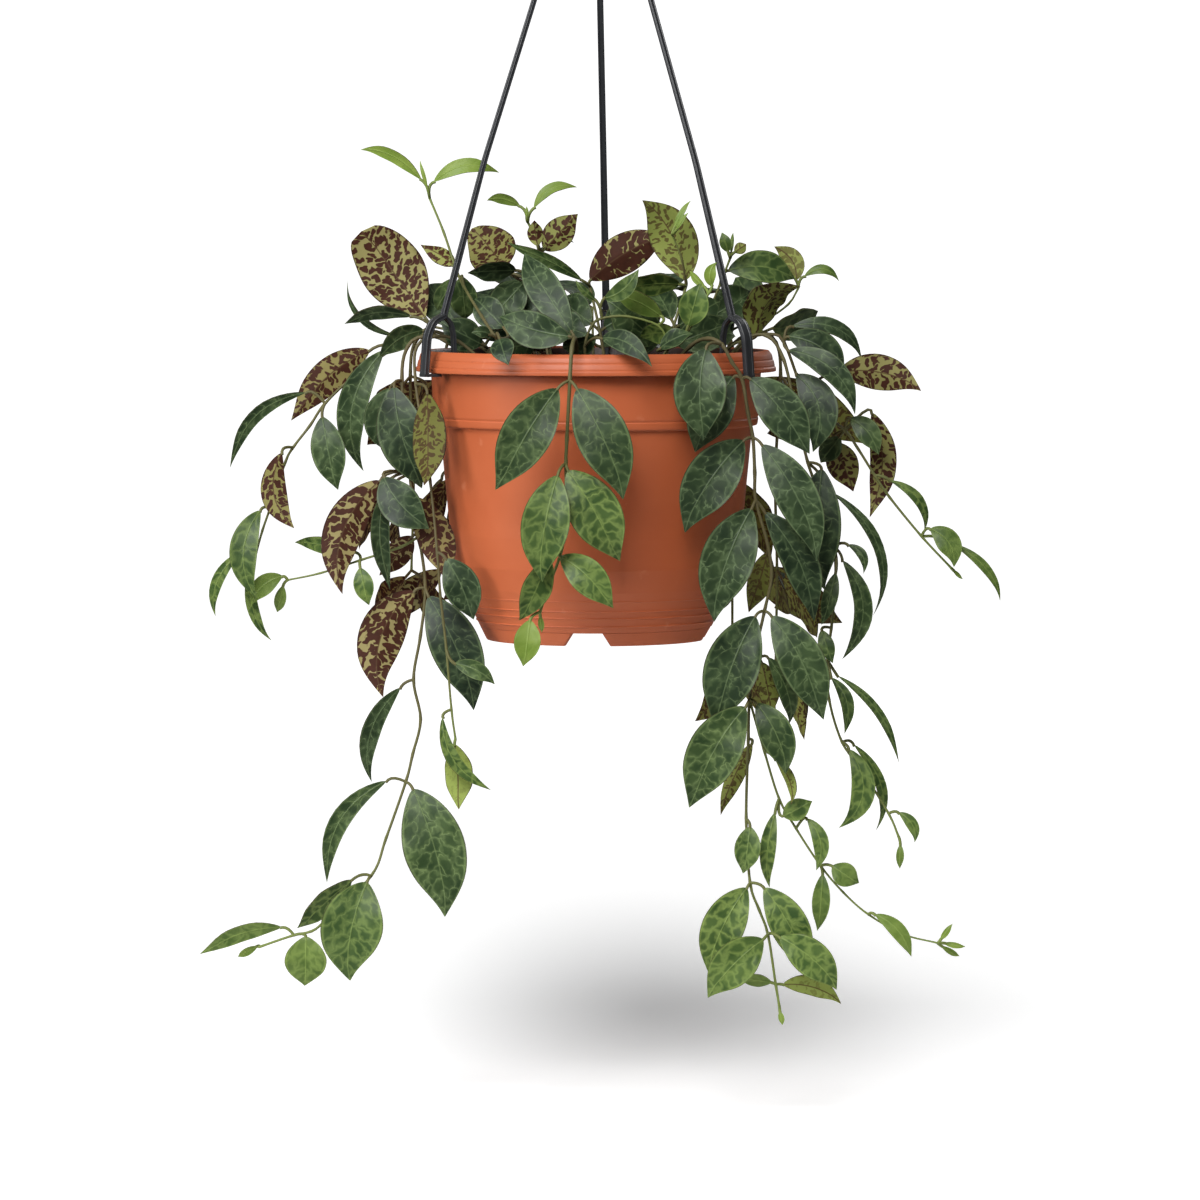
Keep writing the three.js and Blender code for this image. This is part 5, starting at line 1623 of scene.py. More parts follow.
@dataclass(frozen=True)
class PottingMix:
    """Dark peat with lighter crumbs of bark."""

    peat: Tint = srgb(38, 29, 22)
    bark: Tint = srgb(74, 56, 40)

    def make(self) -> bpy.types.Material:
        """Makes the material.

        Returns:
            The material.
        """
        shader = Shader("Potting mix", roughness=0.95, specular=0.2)
        spot = shader.object_place()
        crumbs = shader.crumbs(spot, 330.0)
        tint = shader.noise(spot, 90.0, 4.0)
        colour = shader.mix(shader.smooth(tint, 0.35, 0.7), self.peat, self.bark)
        shader.bump(crumbs + tint, 0.0012, 0.8)
        return shader.finish(colour=colour)


@dataclass(frozen=True)
class Blade:
    """The places and values that a leaf's two materials share.

    Args:
        patch: The distance from the middles of the marbling's patches, which are long and lie
            aslant, forward and outward from the midrib.
        seam: The distance from the lines between the patches.
        tone: A draw for each patch.
        off: Centimetres from the midrib.
        edge: The share of the way from the midrib to the edge.
        broad: A broad noise.
        fine: A finer noise.
        youth: 1 for the youngest leaves and 0 for the full-grown ones.
        chance: A draw for each leaf.
    """

    patch: Value
    seam: Value
    tone: Value
    off: Value
    edge: Value
    broad: Value
    fine: Value
    youth: Value
    chance: Value

    @classmethod
    def read(cls, shader: Shader, slant: float, size: Pair) -> "Blade":
        """Reads a leaf's sheet. The patches are cells in coordinates that are turned by the
        slant, mirrored at the midrib, shifted by noise and divided by a patch's size.

        Args:
            shader: The material.
            slant: The angle in degrees between the patches' length and the midrib.
            size: The length and width of a patch in centimetres.

        Returns:
            What was read.
        """
        along, across, _ = shader.parts(shader.node("ShaderNodeUVMap", {}, uv_map="blade"))
        off = abs(across)
        hand = shader.math("GREATER_THAN", across, 0.0)
        fine = shader.noise(shader.vector(along, across), 3.2, 1.0)
        warp = shader.noise(shader.vector(across, along + 5.0), 2.2, 1.0)
        angle = math.radians(slant)
        run = along * math.cos(angle) + off * math.sin(angle) + hand * 3.3 + fine * 0.55
        step = off * math.cos(angle) - along * math.sin(angle) + warp * 0.6
        spot = shader.vector(run / size[0], step / size[1])
        return cls(
            patch=shader.cells(spot, "SMOOTH_F1", "Distance", Smoothness=0.12),
            seam=shader.cells(spot, "DISTANCE_TO_EDGE", "Distance"),
            tone=shader.parts(shader.cells(spot, "F1", "Color"))[0],
            off=off,
            edge=shader.attribute("edge"),
            broad=shader.noise(shader.vector(along + 3.0, across), 0.9, 1.0),
            fine=fine,
            youth=shader.attribute("youth"),
            chance=shader.attribute("chance"),
        )


@dataclass(frozen=True)
class UpperFace:
    """The upper face: dark green patches in a thin paler net, which is broader and more yellow
    on young leaves, and faint and broken on the oldest. The youngest are plain. The slant is
    the patches' angle to the midrib in degrees, and sizes are in centimetres. A pair of colours
    runs from leaf to leaf on old leaves, and from dark to light on ripe and new ones. The pale
    pair is the net of old leaves and that of younger ones."""

    slant: float = 42.0
    patch: Pair = (0.82, 0.48)
    line: float = 0.09
    band: float = 0.3
    old_dark: tuple[Tint, Tint] = (srgb(20, 32, 22), srgb(32, 48, 28))
    old_light: tuple[Tint, Tint] = (srgb(37, 53, 35), srgb(56, 73, 43))
    ripe: tuple[Tint, Tint] = (srgb(44, 68, 30), srgb(76, 98, 48))
    new: tuple[Tint, Tint] = (srgb(104, 129, 48), srgb(128, 147, 66))
    pale: tuple[Tint, Tint] = (srgb(116, 136, 94), srgb(138, 158, 82))
    margin: Tint = srgb(44, 36, 26)

    def make(self) -> bpy.types.Material:
        """Makes the material: the ground, the net, the midrib, a pale seam inside the edge
        and the dark margin, one over the other.

        Returns:
            The material.
        """
        shader = Shader("Leaf upper face", roughness=0.4, specular=0.24)
        blade = Blade.read(shader, self.slant, self.patch)
        net = self.net(shader, blade)
        pale = shader.mix(shader.smooth(blade.youth, 0.0, 0.4), *self.pale)
        plain = shader.smooth(blade.youth, 0.45, 0.8)
        strength = (0.5 + 0.3 * blade.chance) * (1.0 - 0.85 * plain)
        colour = shader.mix(net * strength, self.ground(shader, blade), pale)
        rib = 1.0 - shader.smooth(blade.off, 0.01, 0.05)
        colour = shader.mix(rib * 0.3, colour, pale)
        rim = shader.smooth(blade.edge, 0.85, 0.93)
        colour = shader.mix(rim * 0.35, colour, pale)
        margin = shader.smooth(blade.edge, 0.95, 0.99)
        colour = shader.mix(margin * (0.8 - 0.5 * blade.youth), colour, self.margin)
        shader.bump(net * 0.5 - rib, 0.0002, 0.6)
        return shader.finish(colour=colour, roughness=0.36 + 0.14 * blade.broad)

    def net(self, shader: Shader, blade: Blade) -> Value:
        """The net: the stronger of a fine line, which a fine noise breaks, and a broad band,
        which a broad noise clouds.

        Args:
            shader: The material.
            blade: The leaf's places and values.

        Returns:
            1 where the net is strongest and 0 off it.
        """
        young = shader.smooth(blade.youth, 0.03, 0.45)
        line = 1.0 - shader.smooth(blade.seam, 0.0, self.line)
        whole = shader.smooth(blade.fine + 0.2 * young, 0.36, 0.66)
        band = (1.0 - shader.smooth(blade.seam, 0.0, self.band)) * (0.35 + 0.35 * young)
        cloud = shader.smooth(blade.broad + 0.3 * young, 0.35, 0.75)
        return shader.math("MAXIMUM", line * (0.2 + 0.55 * whole), band * (0.4 + 0.6 * cloud))

    def ground(self, shader: Shader, blade: Blade) -> Value:
        """The green between the net, by the leaf's age.

        Args:
            shader: The material.
            blade: The leaf's places and values.

        Returns:
            The colour.
        """
        shade = shader.smooth(blade.broad, 0.3, 0.7) * 0.7 + blade.tone * 0.3
        dark = shader.mix(blade.chance, *self.old_dark)
        light = shader.mix(blade.chance, *self.old_light)
        old = shader.mix(shade, dark, light)
        ripe = shader.mix(shade, *self.ripe)
        new = shader.mix(shade, *self.new)
        green = shader.mix(shader.smooth(blade.youth, 0.0, 0.4), old, ripe)
        return shader.mix(shader.smooth(blade.youth, 0.5, 0.95), green, new)


@dataclass(frozen=True)
class Underside:
    """The underside: slanted maroon blotches on a tan ground, around a dark midrib, or sparse
    brown ones on an olive ground where it is less red. The slant is the blotches' angle to the
    midrib in degrees, and a patch's sizes are in centimetres. The grounds run from leaf to
    leaf, and the maroon from spot to spot."""

    slant: float = 52.0
    patch: Pair = (0.44, 0.22)
    olive: tuple[Tint, Tint] = (srgb(96, 98, 44), srgb(122, 128, 62))
    tan: tuple[Tint, Tint] = (srgb(126, 114, 70), srgb(144, 134, 90))
    young: Tint = srgb(134, 150, 74)
    maroon: tuple[Tint, Tint] = (srgb(52, 29, 20), srgb(70, 38, 26))
    brown: Tint = srgb(78, 70, 34)
    rib: Tint = srgb(76, 54, 36)
    margin: Tint = srgb(50, 36, 28)

    def make(self) -> bpy.types.Material:
        """Makes the material: the ground, the blotches, the midrib and the margin, one over
        the other. The blotches reach further from their middles where the leaf is redder.

        Returns:
            The material.
        """
        shader = Shader("Leaf underside", roughness=0.6, specular=0.12)
        blade = Blade.read(shader, self.slant, self.patch)
        red = shader.attribute("red")
        spread = 0.24 + 0.3 * red + 0.1 * blade.broad - 0.08 * blade.youth
        blotch = 1.0 - shader.smooth(blade.patch - spread, -0.05, 0.04)
        olive = shader.mix(blade.chance, *self.olive)
        tan = shader.mix(blade.chance, *self.tan)
        ground = shader.mix(shader.smooth(red, 0.2, 0.7), olive, tan)
        ground = shader.mix(blade.youth, ground, self.young)
        maroon = shader.mix(blade.fine, *self.maroon)
        mark = shader.mix(shader.smooth(red, 0.1, 0.5), self.brown, maroon)
        plain = shader.smooth(blade.youth, 0.3, 0.9)
        colour = shader.mix(blotch * (1.0 - 0.8 * plain), ground, mark)
        rib = 1.0 - shader.smooth(blade.off, 0.015, 0.05)
        colour = shader.mix(rib * 0.8, colour, self.rib)
        margin = shader.smooth(blade.edge, 0.93, 0.99)
        colour = shader.mix(margin * 0.75, colour, self.margin)
        return shader.finish(colour=colour)


@dataclass(frozen=True)
class Bark:
    """Stems and petioles: grey olive, greener where they are young."""

    old: tuple[Tint, Tint] = (srgb(72, 68, 42), srgb(104, 94, 62))
    young: Tint = srgb(118, 136, 66)

    def make(self) -> bpy.types.Material:
        """Makes the material.

        Returns:
            The material.
        """
        shader = Shader("Stem", roughness=0.6, specular=0.35)
        grain = shader.noise(shader.object_place(), 140.0, 3.0)
        old = shader.mix(grain, *self.old)
        return shader.finish(colour=shader.mix(shader.attribute("youth"), old, self.young))


@dataclass
class Vine:
    """Builds the mesh of each leafy stem: tubes for the stem, which is thicker near its nodes,
    and for its petioles, and thin blades on a fine or a coarse grid by their width. The ripple
    is over a blade's half width, and its tip's hook and droop are over its length."""

    upper: UpperFace = UpperFace()
    under: Underside = Underside()
    bark: Bark = Bark()
    stem_sides: int = 10
    stem_step: float = 4.0
    swelling: float = 0.22
    swollen: float = 1.6
    petiole_sides: int = 8
    petiole_rings: int = 6
    petiole_radii: Pair = (0.75, 0.8)
    fine_width: float = 12.0
    fine_grid: tuple[int, int] = (26, 12)
    coarse_grid: tuple[int, int] = (16, 8)
    rib_half: float = 0.55
    edge_half: float = 0.25
    ripple: float = 0.05
    hook: float = 0.025
    droop: float = 0.02
    marble_step: float = 7.0

    def __post_init__(self) -> None:
        """Makes the materials and starts the draws."""
        self.materials = (self.upper.make(), self.under.make(), self.bark.make())
        self.random = np.random.default_rng(LEAF_SEED)
        self.count = 0

    def stem_tube(self, skin: Skin, stem: Stem) -> None:
        """Adds a stem: a round tube that is a little slimmer towards its tip and a little
        thicker at its nodes.

        Args:
            skin: The mesh that it is added to.
            stem: The stem.
        """
        centres = smooth_route(stem.route, self.stem_step)
        if not stem.joins:
            centres = np.vstack([centres[0] - UP * ROOT_DEPTH, centres])
        share = np.arange(len(centres)) / (len(centres) - 1)
        radii = stem.thickness / 2.0 * (1.0 - STEM_TAPER * share) * STEM_FULLNESS
        joints = np.linalg.norm(centres[:, None] - stem.route[None], axis=2).min(axis=1)
        radii = radii * (1.0 + self.swelling * np.exp(-(joints / self.swollen) ** 2))
        age = age_of(stem.name)
        self.add_tube(skin, centres, radii, self.stem_sides,
                      np.array([age.youth(part) for part in share]))

    def add_tube(self, skin: Skin, centres: Array, radii: Array, sides: int,
                 youth: Array) -> None:
        """Adds a round tube whose sides don't twist: each ring's first direction is the last
        ring's, less its part along the tube.

        Args:
            skin: The mesh that it is added to.
            centres: The rings' centres, one a row.
            radii: The rings' radii.
            sides: How many sides it has.
            youth: How young each ring looks.
        """
        tangents = unit(np.gradient(centres, axis=0))
        normal = np.array([0.6, 0.8, 0.0])
        angles = np.arange(sides) * 2.0 * np.pi / sides
        rings = []
        for centre, tangent, radius in zip(centres, tangents, radii):
            normal = unit(normal - tangent * normal.dot(tangent))
            second = np.cross(tangent, normal)
            circle = np.outer(np.cos(angles), normal) + np.outer(np.sin(angles), second)
            rings.append(centre + radius * circle)
        sheet = np.zeros((len(centres) * sides + 2, SHEET_SIZE))
        sheet[:-2, 2] = np.repeat(youth, sides)
        sheet[-2:, 2] = youth[0], youth[-1]
        tube(skin, np.array(rings), Face.STEM.value, sheet)

    def petiole(self, skin: Skin, leaf: Leaf) -> None:
        """Adds the short stalk from the stem to the blade's base: the parabola that leaves
        the stem towards a point behind the base and ends in the blade.

        Args:
            skin: The mesh that it is added to.
            leaf: The leaf.
        """
        run = np.linalg.norm(leaf.base - leaf.node)
        ahead = unit(leaf.tip - leaf.base)
        t = np.linspace(0.0, 1.0, self.petiole_rings)[:, None]
        inner = leaf.base - ahead * run * 0.4
        centres = leaf.node * (1 - t) ** 2 + inner * 2 * t * (1 - t) + (leaf.base + ahead) * t ** 2
        radii = np.linspace(*self.petiole_radii, self.petiole_rings)
        youth = np.full(self.petiole_rings, leaf.youth)
        self.add_tube(skin, centres, radii, self.petiole_sides, youth)

    def blade(self, skin: Skin, leaf: Leaf) -> None:
        """Adds a blade: its upper face and underside are the folded sheet moved apart, with
        a rim between them. Its edges ripple by a sine of the length, times the squared share
        of the way to the edge. Its tip hooks to one side and droops, by the squared run past
        three quarters of its length.

        Args:
            skin: The mesh that it is added to.
            leaf: The leaf.
        """
        chance = self.random.random()
        phase = self.random.random() * 2.0 * np.pi
        rows, columns = self.fine_grid if leaf.width > self.fine_width else self.coarse_grid
        along = (1.0 - np.cos(np.pi * np.arange(rows + 1) / rows)) / 2.0
        along = 0.5 * along + 0.5 * np.arange(rows + 1) / rows
        across = np.linspace(-1.0, 1.0, columns + 1)
        length = float(np.linalg.norm(leaf.tip - leaf.base))
        side, up = leaf.frame()
        kept = drawn_out(along, leaf.blunt)
        half = (leaf.width / 2.0 * outline(along, leaf.blunt) * kept)[:, None]
        tip_run = length * np.clip((along - 0.75) / 0.25, 0.0, 1.0) ** 2
        sway = self.hook * (1.0 if phase > np.pi else -1.0) * side - self.droop * up
        middle = leaf.surface(along, across, kept) + tip_run[:, None, None] * sway
        waves = np.sin(phase + 2.0 * np.pi * along * (2.0 + chance))[:, None]
        ripple = self.ripple * half * waves * across[None] ** 2 * np.sign(across[None] + phase % 1)
        middle = middle + ripple[:, :, None] * up
        thick = self.edge_half + (self.rib_half - self.edge_half) * (1.0 - np.abs(across)) ** 2
        thin = np.minimum(1.0, 0.15 + half / 3.0)
        lift = (thick[None] * thin)[:, :, None] * up
        rings = np.concatenate([middle + lift, (middle - lift)[:, ::-1]], axis=1)
        ends = np.vstack([rings[0].mean(axis=0), rings[-1].mean(axis=0)])
        faces, slots = self.blade_faces(rows, columns)
        skin.add(np.vstack([rings.reshape(-1, 3), ends]), faces, slots,
                 self.blade_sheet(leaf, along * length, across, half, chance))

    def blade_faces(self, rows: int, columns: int) -> tuple[Array, Array]:
        """The faces of a blade, whose rings run over its upper face and back below.

        Args:
            rows: How many rows of faces it has.
            columns: How many columns each of its two faces has.

        Returns:
            The faces' corners, and their material slots.
        """
        size = 2 * (columns + 1)
        total = (rows + 1) * size
        faces = np.vstack([
            grid_faces(rows + 1, size, closed=True),
            fan(total, np.arange(size)[::-1]),
            fan(total + 1, np.arange(size) + rows * size),
        ])
        column = np.tile(np.arange(size), rows)
        slots = np.where(column < columns, Face.UPPER.value, Face.UNDER.value)
        slots = np.concatenate([slots, np.full(2 * size, Face.UNDER.value)])
        return faces[:, ::-1], slots

    def blade_sheet(self, leaf: Leaf, run: Array, across: Array, half: Array,
                    chance: float) -> Array:
        """What a blade's vertices carry for its materials.

        Args:
            leaf: The leaf.
            run: How far along the blade each row is.
            across: The shares of the half width that its points lie at.
            half: The half width at each row, as a column.
            chance: The leaf's draw.

        Returns:
            Six values a vertex, as the mesh takes them, the two ends' middles last.
        """
        offset = self.marble_step * self.count
        self.count += 1
        sides = np.concatenate([across, across[::-1]])
        sheet = np.empty((len(run), len(sides), SHEET_SIZE))
        sheet[:, :, 0] = (run / CENTIMETRE)[:, None] + offset
        sheet[:, :, 1] = half * sides[None] / CENTIMETRE
        sheet[:, :, 2] = leaf.youth
        sheet[:, :, 3] = chance
        sheet[:, :, 4] = np.abs(sides)
        sheet[:, :, 5] = leaf.red
        end = offset + run[-1] / CENTIMETRE
        ends = np.array([[offset, 0.0, leaf.youth, chance, 0.0, leaf.red],
                         [end, 0.0, leaf.youth, chance, 1.0, leaf.red]])
        return np.vstack([sheet.reshape(-1, SHEET_SIZE), ends])

    def build(self, group: list[Stem]) -> bpy.types.Object:
        """Builds a stem with its branches and all their leaves.

        Args:
            group: The stem, and then its branches.

        Returns:
            The piece.
        """
        skin = Skin()
        for stem in group:
            self.stem_tube(skin, stem)
            for leaf in stem.leaves:
                self.petiole(skin, leaf)
                self.blade(skin, leaf)
        return skin.build(group[0].name.capitalize(), self.materials, sharp=60.0)


@dataclass
class Pot:
    """The pot: a wall with a stepped collar and faint lines, a rim with a hollow underside, a
    floor with drain holes in its third band, and a notched foot. Half a notch's mouth, how much
    less that is at its top, and half a drain's width are angles in degrees."""

    plastic: Terracotta = Terracotta()
    sides: int = 144
    rounding: float = 0.45
    rounding_steps: int = 3
    notches: int = 4
    notch_mouth: float = 12.3
    notch_slope: float = 4.6
    arc_rings: int = 37
    drains: int = 6
    drain_half: float = 7.6
    floor_radii: tuple[float, ...] = (0.5, 13.0, 26.0, 34.0, FOOT_INNER)
    button_radii: Pair = (4.0, 4.6)
    button_sides: int = 48
    line_half: float = 0.45
    line_top: float = 0.12

    def line(self, height: float, rise: float) -> list[Pair]:
        """A faint raised line round the wall.

        Args:
            height: The height of its middle.
            rise: How far it stands out.

        Returns:
            Points of [radius, height], from below to above.
        """
        levels = (height - self.line_half, height - self.line_top, height + self.line_top,
                  height + self.line_half)
        rises = (0.0, rise, rise, 0.0)
        return [(float(np.interp(level, POT_WALL[:, 1], POT_WALL[:, 0])) + out, level)
                for level, out in zip(levels, rises)]

    def profile(self) -> Array:
        """The closed profile of the wall and the rim.

        Returns:
            Points of [radius, height]: up the outside, over the rim and down the inside.
        """
        outer = [
            (FOOT_INNER, NOTCH_TOP), (58.1, NOTCH_TOP), *self.line(-134.7, 0.5),
            *self.line(-130.5, 0.5), *self.line(-127.0, 0.42), *self.line(-122.0, 0.2),
            (67.2, -117.5), (70.6, -106.5), (73.0, -91.0), (78.2, -37.6), (80.5, -37.1),
            (80.8, -36.4), (81.2, -33.8), (80.85, -33.4), (81.1, -32.8), (81.35, -32.2),
            (82.5, -RIM_DEPTH), (84.5, -2.6), (87.2, -2.6), (88.0, -RIM_DEPTH),
        ]
        rim = [
            (RIM_RADIUS, -RIM_DEPTH), (RIM_RADIUS, -8.4), (89.3, -7.9), (89.4, -7.3),
            (88.8, -4.9), (88.3, -4.5), (88.4, -3.9), (87.9, -2.0), (86.4, 0.0), (84.2, 0.0),
            (83.4, -0.6),
        ]
        inner = [
            (RIM_INNER, -RIM_DEPTH), (76.2, -37.6), (71.0, -91.0), (68.6, -106.0),
            (65.2, -116.8), (58.9, -131.3), (56.4, FLOOR_TOP), (FOOT_INNER, FLOOR_TOP),
        ]
        return round_corners([*outer, *rim, *inner], self.rounding, self.rounding_steps)

    def foot_arc(self, skin: Skin, turn: float) -> None:
        """Adds the foot from one notch to the next, with sloped ends.

        Args:
            skin: The mesh that it is added to.
            turn: The turn of the notch that it ends at, in degrees from +X.
        """
        section = np.array([
            (FOOT_INNER, NOTCH_TOP), (FOOT_INNER, -144.1), (51.5, -POT_HEIGHT),
            (54.9, -POT_HEIGHT), (FOOT_RADIUS, -144.1), (56.4, -141.5), (58.1, NOTCH_TOP),
        ])
        share = (section[:, 1] + POT_HEIGHT) / (NOTCH_TOP + POT_HEIGHT)
        start = np.radians(turn - 360.0 / self.notches + self.notch_mouth
                           - self.notch_slope * share)
        end = np.radians(turn - self.notch_mouth + self.notch_slope * share)
        run = np.linspace(0.0, 1.0, self.arc_rings)[:, None]
        angles = start + (end - start) * run
        rings = np.empty((self.arc_rings, len(section), 3))
        rings[:, :, 0] = section[:, 0] * np.cos(angles)
        rings[:, :, 1] = section[:, 0] * np.sin(angles)
        rings[:, :, 2] = section[:, 1]
        tube(skin, rings)

    def sectors_near(self, turn: float) -> Array:
        """Which of the floor's sectors a drain hole takes.

        Args:
            turn: The hole's turn from the front, in degrees.

        Returns:
            True for each sector that it takes.
        """
        middles = (np.arange(self.sides) + 0.5) * 360.0 / self.sides
        return np.abs((middles - turn + 90.0 + 180.0) % 360.0 - 180.0) < self.drain_half

    def floor(self, skin: Skin) -> None:
        """Adds the floor with its drain holes, and the button in its middle.

        Args:
            skin: The mesh that it is added to.
        """
        kept = np.full((len(self.floor_radii) - 1, self.sides), True)
        step = 360.0 / self.drains
        for i in range(self.drains):
            kept[2, self.sectors_near(NOTCH_TURN + step / 2.0 + step * i)] = False
        polar_slab(skin, self.floor_radii, FLOOR_UNDER, FLOOR_TOP, kept)
        low, high = self.button_radii
        button = np.array([
            (NEAR_AXIS, FLOOR_UNDER - 0.8), (low, FLOOR_UNDER - 0.8), (high, FLOOR_UNDER),
            (high, FLOOR_TOP - 0.4), (NEAR_AXIS, FLOOR_TOP - 0.4),
        ])
        lathe(skin, button, self.button_sides)

    def build(self) -> bpy.types.Object:
        """Builds the pot.

        Returns:
            The piece.
        """
        skin = Skin()
        lathe(skin, self.profile(), self.sides)
        for i in range(self.notches):
            self.foot_arc(skin, NOTCH_TURN + 360.0 / self.notches * i)
        self.floor(skin)
        return skin.build("Pot", [self.plastic.make()], sharp=42.0)


@dataclass
class Hanger:
    """The hanger: three grooved arms with clips, a hub and a hook, whose bend starts straight
    below its middle and ends at an angle in degrees from +X."""

    plastic: BlackPlastic = BlackPlastic()
    rod_sides: int = 24
    hub_sides: int = 48
    bend_rings: int = 60
    bend_end: float = 195.0
    rounding_steps: int = 6
    skin: Skin = field(default_factory=Skin)

    @staticmethod
    def section(width: float, depth: float, groove: float) -> Array:
        """A strap's cross-section: a rectangle with cut corners and a groove down each face.

        Args:
            width: Its size across.
            depth: Its thickness.
            groove: How deep the groove down each face is.

        Returns:
            Its points, of [across, out].
        """
        half, deep = width / 2.0, depth / 2.0
        cut = 0.16 * min(width, depth)
        points = []
        for quarter, (reach, out) in enumerate(((half, deep), (deep, half)) * 2):
            lip = 0.5 * reach
            face = [(-reach + cut, -out), (-lip - 0.08, -out), (-lip + 0.12, -out + groove),
                    (lip - 0.12, -out + groove), (lip + 0.08, -out), (reach - cut, -out),
                    (reach - 0.3 * cut, -out + 0.3 * cut)]
            turn = math.pi / 2.0 * quarter
            cos, sin = math.cos(turn), math.sin(turn)
            points += [(x * cos - y * sin, x * sin + y * cos) for x, y in face]
        return np.array(points)

    def strap(self, path: Array, turn: float, reach: float, groove: float) -> None:
        """Adds a strap along a path in an upright plane.

        Args:
            path: The corners of its middle line, as [radius, height, thickness, width].
            turn: The plane's turn about the pot's axis, in degrees from the front.
            reach: How far from a corner its rounding starts.
            groove: How deep the groove down each face is.
        """
        line = round_corners(path, reach, self.rounding_steps)
        tangents = unit(np.gradient(line[:, :2], axis=0))
        normals = np.stack([-tangents[:, 1], tangents[:, 0]], axis=1)
        sections = np.array([self.section(width, depth, groove) for *_, depth, width in line])
        outward = arm_direction(turn)
        across = np.cross(UP, outward)
        flat = line[:, None, :2] + normals[:, None] * sections[:, :, 1:]
        rings = flat[:, :, :1] * outward + flat[:, :, 1:] * UP + sections[:, :, :1] * across
        tube(self.skin, rings)

    def rod(self, centres: Array, radii: Array) -> None:
        """Adds a round rod in the upright plane of +X.

        Args:
            centres: The rings' centres, one a row.
            radii: The rings' radii.
        """
        tangents = unit(np.gradient(centres, axis=0))
        sideways = np.array([0.0, 1.0, 0.0])
        angles = np.arange(self.rod_sides) * 2.0 * np.pi / self.rod_sides
        inward = np.cross(tangents, sideways)
        circle = np.cos(angles)[None, :, None] * inward[:, None]
        circle = circle + np.sin(angles)[None, :, None] * sideways
        tube(self.skin, centres[:, None] + radii[:, None, None] * circle)

    def hook(self) -> None:
        """Adds the hook: a rod that rises from the hub and bends round through an arc, with
        a rounded end."""
        radius = HOOK_INNER + HOOK_ROD / 2.0
        centre = HANG_HEIGHT - HOOK_INNER
        low = centre - radius
        angles = np.radians(np.linspace(-90.0, self.bend_end, self.bend_rings))
        bend = np.stack([radius * np.cos(angles), np.zeros(self.bend_rings),
                         centre + radius * np.sin(angles)], axis=1)
        stalk = np.array([[0.0, 0.0, HUB_HEIGHT], [0.0, 0.0, low - 5.0]])
        lead = np.array([[0.6, 0.0, low - 2.6], [2.2, 0.0, low - 0.9]])
        centres = np.vstack([stalk, lead, bend[3:]])
        radii = np.full(len(centres), HOOK_ROD / 2.0)
        radii[-3:] = HOOK_ROD / 2.0 * np.array([0.98, 0.86, 0.55])
        self.rod(centres, radii)

    def hub(self) -> None:
        """Adds the hub that the arms run into."""
        low = HUB_HEIGHT - 10.0
        high = HUB_HEIGHT + 5.0
        profile = [(NEAR_AXIS, low), (6.0, low), (HUB_RADIUS, HUB_HEIGHT - 6.0),
                   (HUB_RADIUS, HUB_HEIGHT + 1.0), (4.0, high), (NEAR_AXIS, high)]
        lathe(self.skin, round_corners(profile, 0.8, 4), self.hub_sides)

    def build(self) -> bpy.types.Object:
        """Builds the hanger.

        Returns:
            The piece.
        """
        for turn in ARM_TURNS:
            self.strap(ARM_PATH, turn, reach=6.0, groove=0.35)
            self.strap(OUTER_LEG_PATH, turn, reach=3.0, groove=0.3)
            self.strap(INNER_LEG_PATH, turn, reach=3.0, groove=0.2)
            self.strap(FOOT_PATH, turn, reach=1.0, groove=0.0)
        self.hub()
        self.hook()
        return self.skin.build("Hanger", [self.plastic.make()], sharp=50.0)


